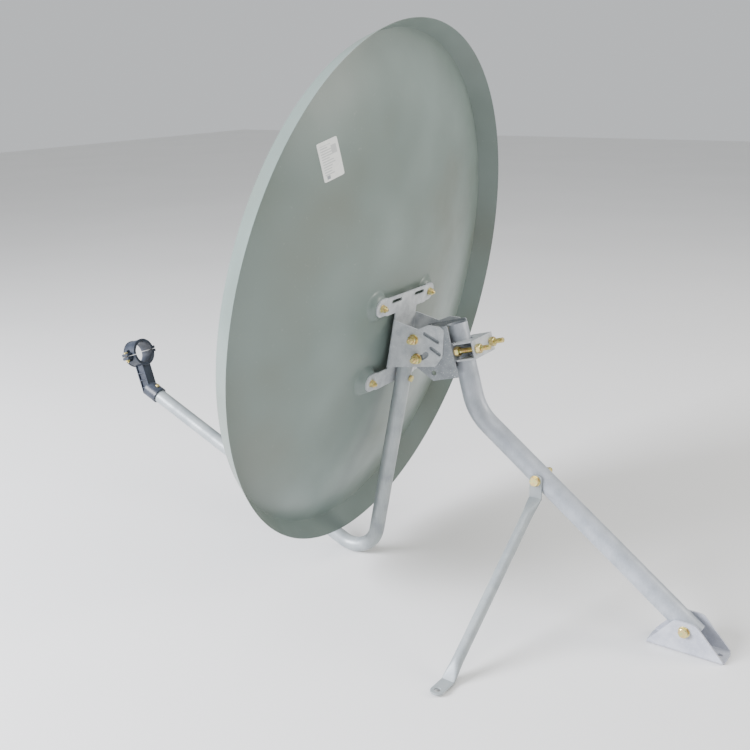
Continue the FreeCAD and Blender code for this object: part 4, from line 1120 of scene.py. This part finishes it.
# ---------------------------------------------------------------- reflector
@dataclass
class Reflector:
    """Pressed offset bowl with four pads and a flange turned back round its rim."""

    focal: float = 455.0
    radius: float = 361.0
    offset: float = 414.7
    gauge: float = 0.7
    depth: float = 32.5
    flare: float = 18.9
    pad_back: float = 70.5
    pad_crown: float = 15.0
    pad_foot: float = 24.0
    nose: float = 2.2
    fix_across: float = 144.0
    fix_above: float = 4.0
    fix_below: float = 118.0
    segments: int = 320

    @property
    def tilt(self) -> float:
        """Tilt of the beam from the rim plane's normal, in radians."""
        return math.atan(self.offset / 2 / self.focal)

    def surface(self, across: float, rise: float) -> Vector:
        """Point of the bowl's front under a point of the round beam."""
        sag = (self.radius ** 2 - across ** 2 - rise ** 2) / (4 * self.focal)
        return Vector((across, sag * math.cos(self.tilt),
                       rise / math.cos(self.tilt) - sag * math.sin(self.tilt)))

    def back_of(self, x: float, z: float) -> float:
        """How far the bowl's back is behind the rim plane at a place across it."""
        rise = z * math.cos(self.tilt)
        for _ in range(6):
            point = self.surface(x, rise)
            rise += (z - point.z) * math.cos(self.tilt)
        return self.surface(x, rise).y + self.gauge

    def pads(self) -> list[Point]:
        """Centres of the four pads."""
        return [(side * self.fix_across / 2, z) for side in (1, -1) for z in (self.fix_above,
                                                                              -self.fix_below)]

    def press(self, co: Vector) -> Vector:
        """Push a point of the bowl back where a pad is pressed."""
        for x, z in self.pads():
            away = math.hypot(co.x - x, co.z - z)
            if away < self.pad_foot:
                share = min(1.0, max(0.0, (self.pad_foot - away) / (self.pad_foot - self.pad_crown)))
                share = share * share * (3 - 2 * share)
                co = Vector((co.x, co.y + (self.pad_back - self.gauge - co.y) * share, co.z))
        return co

    def build(self) -> None:
        """Spread the beam's round section as rings, press it into the bowl and turn the flange back."""
        bm = fresh()
        loop = rim = ring(bm, self.radius, self.segments)
        level = self.radius
        while level > 8:
            step = 2.6 if 40 < level < 176 else 7.0
            share = (level - step) / level
            loop = extend(bm, loop, lambda co: co * share)
            level -= step
        bmesh.ops.holes_fill(bm, edges=loop, sides=0)
        for vert in bm.verts:
            vert.co = self.press(self.surface(vert.co.x, vert.co.y))
        high = self.radius / math.cos(self.tilt)
        flange = [(self.nose * 0.6 * share, self.nose * 0.25 * share ** 2) for share in (0.2, 0.4, 0.6, 0.8,
                                                                                         1.0)]
        first, last = Vector(flange[-1]), Vector((self.flare - 0.25, self.depth - 0.4))
        flange += [tuple(first.lerp(last, index / 6)) for index in range(1, 7)]
        loop = rim
        for out, back in flange:
            def change(co: Vector) -> Vector:
                """Place a vertex of the flange by its bearing round the rim."""
                angle = math.atan2(co.z / high, co.x / self.radius)
                wide, tall = self.radius + out, high + out
                return Vector((wide * math.cos(angle), back, tall * math.sin(angle)))
            loop = extend(bm, loop, change)
        bmesh.ops.recalc_face_normals(bm, faces=list(bm.faces))
        middle = min(bm.faces, key=lambda face: face.calc_center_median().xz.length)
        if middle.normal.y > 0:
            bmesh.ops.reverse_faces(bm, faces=list(bm.faces))
        bmesh.ops.solidify(bm, geom=list(bm.faces), thickness=self.gauge)
        settle(bm, "reflector_pressed_shell", LAYOUT.dish(), Finishes.PAINT, "dish",
               ["reflector", "reflector_rim"], 60)


@dataclass
class Label:
    """Paper label stuck to the back of the bowl."""

    wide: float = 40.0
    high: float = 52.0
    side: float = 186.0
    up: float = 226.0
    turn: float = 16.0
    paper: float = 0.18

    def build(self, reflector: Reflector) -> None:
        """Lay a thin sheet over the bowl's back."""
        bm = fresh()
        bmesh.ops.create_grid(bm, x_segments=14, y_segments=18, size=0.5, calc_uvs=False)
        uv = bm.loops.layers.uv.new("print")
        for face in bm.faces:
            for loop in face.loops:
                loop[uv].uv = (0.5 - loop.vert.co.x, loop.vert.co.y + 0.5)
        corners = [vert for vert in bm.verts if abs(vert.co.x) > 0.49 and abs(vert.co.y) > 0.49]
        for vert in corners:
            vert.co *= 0.975
        tilt = math.radians(self.turn)
        for vert in bm.verts:
            x, z = vert.co.x * self.wide, vert.co.y * self.high
            across = self.side + x * math.cos(tilt) + z * math.sin(tilt)
            above = self.up - x * math.sin(tilt) + z * math.cos(tilt)
            vert.co = Vector((across, reflector.back_of(across, above) + 0.05, above))
        bm.normal_update()
        if sum((face.normal.y for face in bm.faces)) < 0:
            bmesh.ops.reverse_faces(bm, faces=list(bm.faces))
        skin = bmesh.ops.extrude_face_region(bm, geom=list(bm.faces), use_keep_orig=True)["geom"]
        for vert in (item for item in skin if isinstance(item, bmesh.types.BMVert)):
            vert.co.y += self.paper
        outward(bm)
        settle(bm, "label_printed_paper", LAYOUT.dish(), Finishes.LABEL, "dish", ["paper_label"], 50)


# ---------------------------------------------------------------- bracket on the reflector
@dataclass
class Bracket:
    """Folded bracket that holds the reflector and the arm, and turns on the saddle."""

    seat: float = 73.0
    gauge: float = 2.5
    cheek_out: float = 35.5
    bend: float = 3.25
    strip: float = 57.5
    joggle: float = 2.5
    ear_half: float = 14.0
    slot_half: float = 3.0

    def build(self, reflector: Reflector) -> None:
        """Cut and fold the bracket, then fasten it to the pads."""
        at = self.cheek_out - self.gauge / 2 - self.bend
        layer = self.seat + self.gauge / 2
        lie = at + math.pi / 2 * self.bend - (layer + self.bend)

        def out(y: float) -> float:
            """Distance from the middle of the blank that ends up so far behind the rim plane."""
            return lie + y

        top, bottom = reflector.fix_above, -reflector.fix_below
        ear = reflector.fix_across / 2 + self.ear_half
        half = self.ear_half
        right = [(ear, top + half, half - 0.1), (ear, top - half, half - 0.1), (at + 4, top - half, 1.5),
                 (at, top - half, 1.5),
                 (at, -22), (out(118), -24, 4), (out(135), -12, 6), (out(161), -8, 9), (out(167), -54, 9),
                 (out(158), -72, 6),
                 (at, -101), (at, -104), (at + 4, bottom + half, 1.5), (ear, bottom + half, half - 0.1),
                 (ear, bottom - half, half - 0.1)]
        outline = rounded(right + [(-x, y, *rest) for x, y, *rest in reversed(right)])
        holes = [circle(0, -64, 3.2), circle(0, -120, 3.2)]
        hinge = (LAYOUT.hinge_back, -LAYOUT.hinge_drop)
        lock = LAYOUT.dish().inverted() @ LAYOUT.head() @ Vector((0, -62.093, -39.927))
        first = math.atan2(lock.z - hinge[1], lock.y - hinge[0])
        slots = [circle(*hinge, 4.05), arc_slot(hinge, 30.0, first, first + math.radians(36), 4.3),
                 slot((131, -27), (155, -33), self.slot_half), slot((146, -46), (161, -51), self.slot_half)]
        for side in (1, -1):
            for x, z in reflector.pads():
                if x * side > 0:
                    holes.append(circle(x, z, 3.2))
            holes.append(slot((side * 22, 10), (side * 46, 10), self.slot_half))
            for hole in slots:
                holes.append([(side * out(y), z) for y, z in hole])
        sheet = Sheet(outline, holes)
        for step in range(5):
            for side in (1, -1):
                sheet.score(side * (self.strip + step), 0)
        strips = (top - half - 0.5, bottom + half + 0.5)
        for vert in sheet.bm.verts:
            if strips[1] < vert.co.y < strips[0]:
                continue
            share = min(1.0, max(0.0, (abs(vert.co.x) - self.strip) / 4))
            vert.co.z -= self.joggle * share * share * (3 - 2 * share)
        for side in (1, -1):
            sheet.fold(at, self.bend, 90,
                       lambda co: -103.5 < co.y < -21.5 or (abs(co.x) > 92 and -103.5 < co.y < 0), 0, side)
        bm = sheet.thicken(self.gauge, 0.6)
        place = LAYOUT.dish() @ shifted(y=layer) @ Matrix(((1, 0, 0, 0), (0, 0, 1, 0), (0, 1, 0, 0),
                                                           (0, 0, 0, 1)))
        bmesh.ops.reverse_faces(bm, faces=list(bm.faces))
        settle(bm, "bracket_folded_plate", place, Finishes.PRESSED, "dish", ["reflector_bracket"])
        self.fasten(reflector)

    def fasten(self, reflector: Reflector) -> None:
        """Screws from the bowl's front through each pad and ear, with washers and nuts behind."""
        dish = LAYOUT.dish()
        screws = Fasteners("bracket_screws", dish, "dish")
        washers = Fasteners("bracket_washers", dish, "dish")
        nuts = Fasteners("bracket_nuts", dish, "dish")
        inside = reflector.pad_back - reflector.gauge
        length = self.seat - inside + 1.5 + M6.nut + 4
        for x, z in reflector.pads():
            screws.screw(M6, length, shifted(x, inside, z) @ Facing.Y.value)
            washers.washer(M6, shifted(x, self.seat, z) @ Facing.Y.value)
            nuts.nut(M6, shifted(x, self.seat + 1.5, z) @ Facing.Y.value)
        for item in (screws, washers, nuts):
            item.done()


# ---------------------------------------------------------------- feed arm and holder
@dataclass
class FeedArm:
    """Bent arm tube under the reflector, bolted to the bracket."""

    outer: float = 25.0
    wall: float = 1.5
    top: Point = (89.2, -50.0)
    corner: Point = (83.7, -468.6)
    rise: float = 15.0
    bend: float = 50.0
    front: float = 446.0
    seat: float = 73.0
    drops: Point = (64.0, 120.0)

    def ends(self) -> tuple[Vector, Vector, Vector]:
        """Top end, corner and front end of the axis, in the dish frame."""
        top, corner = Vector((0, *self.top)), Vector((0, *self.corner))
        reach = corner.y + self.front
        front = corner + Vector((0, -reach, reach * math.tan(math.radians(self.rise))))
        return top, corner, front

    def build(self) -> None:
        """Sweep the tube and bolt it on."""
        top, corner, front = self.ends()
        down, ahead = corner - top, front - corner
        heading = math.degrees(math.atan2(-down.y, down.z))
        turn = math.degrees(math.atan2(-ahead.y, ahead.z)) - heading
        turn = (turn + 180) % 360 - 180
        cut = self.bend * math.tan(abs(math.radians(turn)) / 2)
        runs = [("run", down.length - cut), ("bend", self.bend, turn), ("run", ahead.length - cut)]
        tube = Tube(self.outer, self.wall, top, heading, 56).make(runs)
        settle(tube, "arm_bent_tube", LAYOUT.dish(), Finishes.TUBE, "dish", ["feed_arm"])
        bolts = Fasteners("arm_bolts", LAYOUT.dish(), "dish")
        nuts = Fasteners("arm_nuts", LAYOUT.dish(), "dish")
        for drop in self.drops:
            share = (drop + self.top[1]) / (self.top[1] - self.corner[1])
            seat = self.top[0] + (self.corner[0] - self.top[0]) * share + self.outer / 2 + 0.2
            bolts.bolt(M6, seat - self.seat + 5.4, shifted(0, seat, -drop) @ Facing.BACK_Y.value, 16)
            nuts.nut(M6, shifted(0, self.seat, -drop) @ Facing.BACK_Y.value)
        bolts.done()
        nuts.done()


@dataclass
class FeedHolder:
    """Moulded holder on the arm's front end: socket, ribbed neck and a two-part clamp."""

    bore: float = 20.0
    wall: float = 5.5
    width: float = 30.0
    lug: float = 36.5
    lug_high: float = 6.0
    lug_deep: float = 16.0
    split: float = 0.5
    socket_wall: float = 3.0
    socket_long: float = 29.0
    neck: float = 58.0
    neck_wide: float = 20.0
    neck_deep: float = 21.0
    rib: float = 2.6

    def block(self, wide: float, deep: float, high: float, place: Matrix,
              edge: float = 0.8) -> bmesh.types.BMesh:
        """Moulded block centred across X and Y, standing up +Z from its place."""
        bm = fresh()
        bmesh.ops.create_cube(bm, size=1.0,
                              matrix=place @ shifted(z=high / 2) @ Matrix.Diagonal((wide, deep, high, 1)))
        bmesh.ops.bevel(bm, geom=list(bm.edges), offset=edge, offset_type="OFFSET", segments=3, profile=0.5,
                        affect="EDGES", clamp_overlap=True, material=-1)
        return bm

    def half_ring(self, up: bool) -> bmesh.types.BMesh:
        """Half of the clamp's ring about Y, with a bead along each rim."""
        bm = fresh()
        half, inner, outer = self.width / 2, self.bore, self.bore + self.wall
        profile = [(inner, -half + 0.5), (inner + 0.5, -half), (outer - 0.6, -half), (outer, -half + 0.6),
                   (outer, -half + 2.8),
                   (outer - 0.9, -half + 3.6), (outer - 0.9, half - 3.6), (outer, half - 2.8),
                   (outer, half - 0.6),
                   (outer - 0.6, half), (inner + 0.5, half), (inner, half - 0.5)]
        start = math.asin(self.split / inner)
        turn = Matrix.Rotation(-start if up else math.pi - start, 4, "Y")
        verts = [bm.verts.new(turn @ Vector((r, y, 0))) for r, y in profile]
        face = bm.faces.new(verts)
        bmesh.ops.spin(bm, geom=[face], axis=(0, 1, 0), cent=(0, 0, 0), angle=-(math.pi - 2 * start),
                       steps=40)
        outward(bm)
        return bm

    def bolted_half(self, up: bool) -> bmesh.types.BMesh:
        """Half ring with its two screw lugs and their gussets."""
        bm = self.half_ring(up)
        low = self.split if up else -self.lug_high
        high = self.lug_high - self.split
        for side in (1, -1):
            reach = self.lug - self.bore - 1.2
            centre = side * (self.bore + 1.2 + reach / 2)
            join(bm, self.block(reach, self.lug_deep, high, shifted(centre, 0, low), 1.6))
            gusset = self.block(7.0, 2.4, 8.0,
                                shifted(side * (self.bore + 6.0), 0, low + (3.0 if up else -5.0)), 0.6)
            join(bm, gusset)
        return bm

    def build(self, arm: FeedArm) -> None:
        """Mould the holder and its cap, and fit their screws."""
        feed = LAYOUT.feed()
        _, corner, front = arm.ends()
        run = (corner - front).normalized()
        lean = math.degrees(math.atan2(-run.y, run.z))
        arm_at = feed.inverted() @ LAYOUT.dish() @ Matrix.Translation(front) @ turned("X", lean)
        holder = self.bolted_half(False)
        inner = arm.outer / 2 + 0.1
        outer = arm.outer / 2 + self.socket_wall
        socket = fresh()
        end = self.socket_long - self.socket_wall
        lathe(socket, [(0, -3.0), (outer - 1.2, -3.0), (outer - 0.3, -2.4), (outer - 0.3, end - 6),
                       (outer, end - 5.2),
                       (outer, end - 0.8), (outer - 0.8, end), (inner + 0.4, end), (inner, end - 0.4),
                       (inner, 0), (0, 0)],
              56, closed=False)
        outward(socket)
        join(holder, socket, arm_at)
        clamp_out = self.bore + self.wall
        base = -clamp_out - self.neck + 6
        join(holder, self.block(self.neck_wide - 5.0, self.neck_deep - 5.0, self.neck, shifted(z=base), 1.0))
        for side in (1, -1):
            edge = side * (self.neck_deep - self.rib) / 2
            join(holder, self.block(self.neck_wide, self.rib, self.neck, shifted(0, edge, base), 0.8))
        for level in (10.0, 24.0, 38.0):
            join(holder, self.block(self.neck_wide - 1.0, self.neck_deep - 1.0, self.rib,
                                    shifted(z=base + level), 0.5))
        settle(holder, "holder_moulded_body", feed, Finishes.PLASTIC, "dish", ["feed_holder"], 40)
        cap = self.bolted_half(True)
        settle(cap, "holder_moulded_cap", feed, Finishes.PLASTIC, "dish", ["feed_clamp_cap"], 40)
        screws = Fasteners("feed_clamp_screws", feed, "dish")
        nuts = Fasteners("feed_clamp_nuts", feed, "dish")
        for x in (clamp_out + 6, -clamp_out - 6):
            screws.bolt(M4, 18.0, shifted(x, 0, self.lug_high) @ Facing.BACK_Z.value, 12)
            nuts.nut(M4, shifted(x, 0, -self.lug_high) @ Facing.BACK_Z.value)
        screws.done()
        nuts.done()
        line = arm_at @ shifted(z=14)
        way = 90 if (line @ turned("X", 90)).to_3x3() @ Vector((0, 0, 1)) @ Vector((0, 0, 1)) > 0 else -90
        grub = Fasteners("holder_set_screw", feed, "dish")
        grub.bolt(M4, 7.0, line @ turned("X", way) @ shifted(z=outer) @ turned("X", 180), 5)
        grub.done()


# ---------------------------------------------------------------- studio
@dataclass(frozen=True)
class Studio:
    """Floor, soft lights and the camera."""

    eye: tuple[float, float, float] = (1.26255, 0.35779, 0.8075)
    heading: float = 3.758
    down: float = 0.304
    roll: float = 0.023
    lens: float = 47.617

    def camera(self) -> None:
        """Set the camera at the object's viewing angle."""
        ahead = Vector((math.cos(self.down) * math.cos(self.heading),
                        math.cos(self.down) * math.sin(self.heading),
                        -math.sin(self.down)))
        right = ahead.cross(Vector((0, 0, 1))).normalized()
        lower = ahead.cross(right)
        level = right * math.cos(self.roll) + lower * math.sin(self.roll)
        drop = lower * math.cos(self.roll) - right * math.sin(self.roll)
        data = bpy.data.cameras.new("studio_camera")
        data.lens = self.lens
        data.sensor_width = 36.0
        data.clip_start = 0.05
        item = bpy.data.objects.new("studio_camera", data)
        item.matrix_world = Matrix.Translation(self.eye) @ Matrix((level, -drop,
                                                                   -ahead)).transposed().to_4x4()
        bpy.context.scene.collection.objects.link(item)
        bpy.context.scene.camera = item

    def light(self, name: str, at: Sequence[float], aim: Sequence[float], size: float, power: float,
              tint: str) -> None:
        """Soft square light.

        Args:
            name: light's name.
            at: its place, in metres.
            aim: point it faces.
            size: side of the square, in metres.
            power: watts.
            tint: sRGB hex colour.
        """
        data = bpy.data.lights.new(name, "AREA")
        data.size = size
        data.energy = power
        data.color = linear(tint)[:3]
        item = bpy.data.objects.new(name, data)
        item.location = at
        item.rotation_euler = (Vector(aim) - Vector(at)).to_track_quat("-Z", "Y").to_euler()
        bpy.context.scene.collection.objects.link(item)

    def build(self) -> None:
        """Make the floor, the lights, the surroundings and the camera."""
        bm = fresh()
        bmesh.ops.create_grid(bm, x_segments=1, y_segments=1, size=9.0)
        mesh = bpy.data.meshes.new("studio_floor")
        bm.to_mesh(mesh)
        bm.free()
        mesh.materials.append(StudioFloor().make())
        floor = bpy.data.objects.new("studio_floor", mesh)
        floor.location.z = -0.0005
        bpy.context.scene.collection.objects.link(floor)
        world = bpy.data.worlds.new("studio_air")
        world.use_nodes = True
        air = world.node_tree.nodes["Background"]
        air.inputs["Color"].default_value = linear("EEF1F4")
        air.inputs["Strength"].default_value = 0.75
        bpy.context.scene.world = world
        middle = (0.0, -0.5, 0.4)
        self.light("window_side", (2.3, -2.1, 1.5), middle, 1.4, 300.0, "F4F6FF")
        self.light("soft_back", (-1.5, 2.1, 1.5), middle, 1.3, 60.0, "FFFAF2")
        self.light("soft_top", (0.5, 0.2, 3.0), middle, 2.2, 40.0, "FFFFFF")
        self.camera()


def main() -> None:
    """Build every sub-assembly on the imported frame, then the studio."""
    logging.basicConfig(level=logging.INFO, format="%(message)s")
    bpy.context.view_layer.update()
    reflector = Reflector()
    arm = FeedArm()
    Foot().build()
    Mast().build()
    Strut().build()
    MastClamp().build()
    reflector.build()
    Label().build(reflector)
    Bracket().build(reflector)
    arm.build()
    FeedHolder().build(arm)
    Studio().build()


if __name__ == "__main__":
    main()
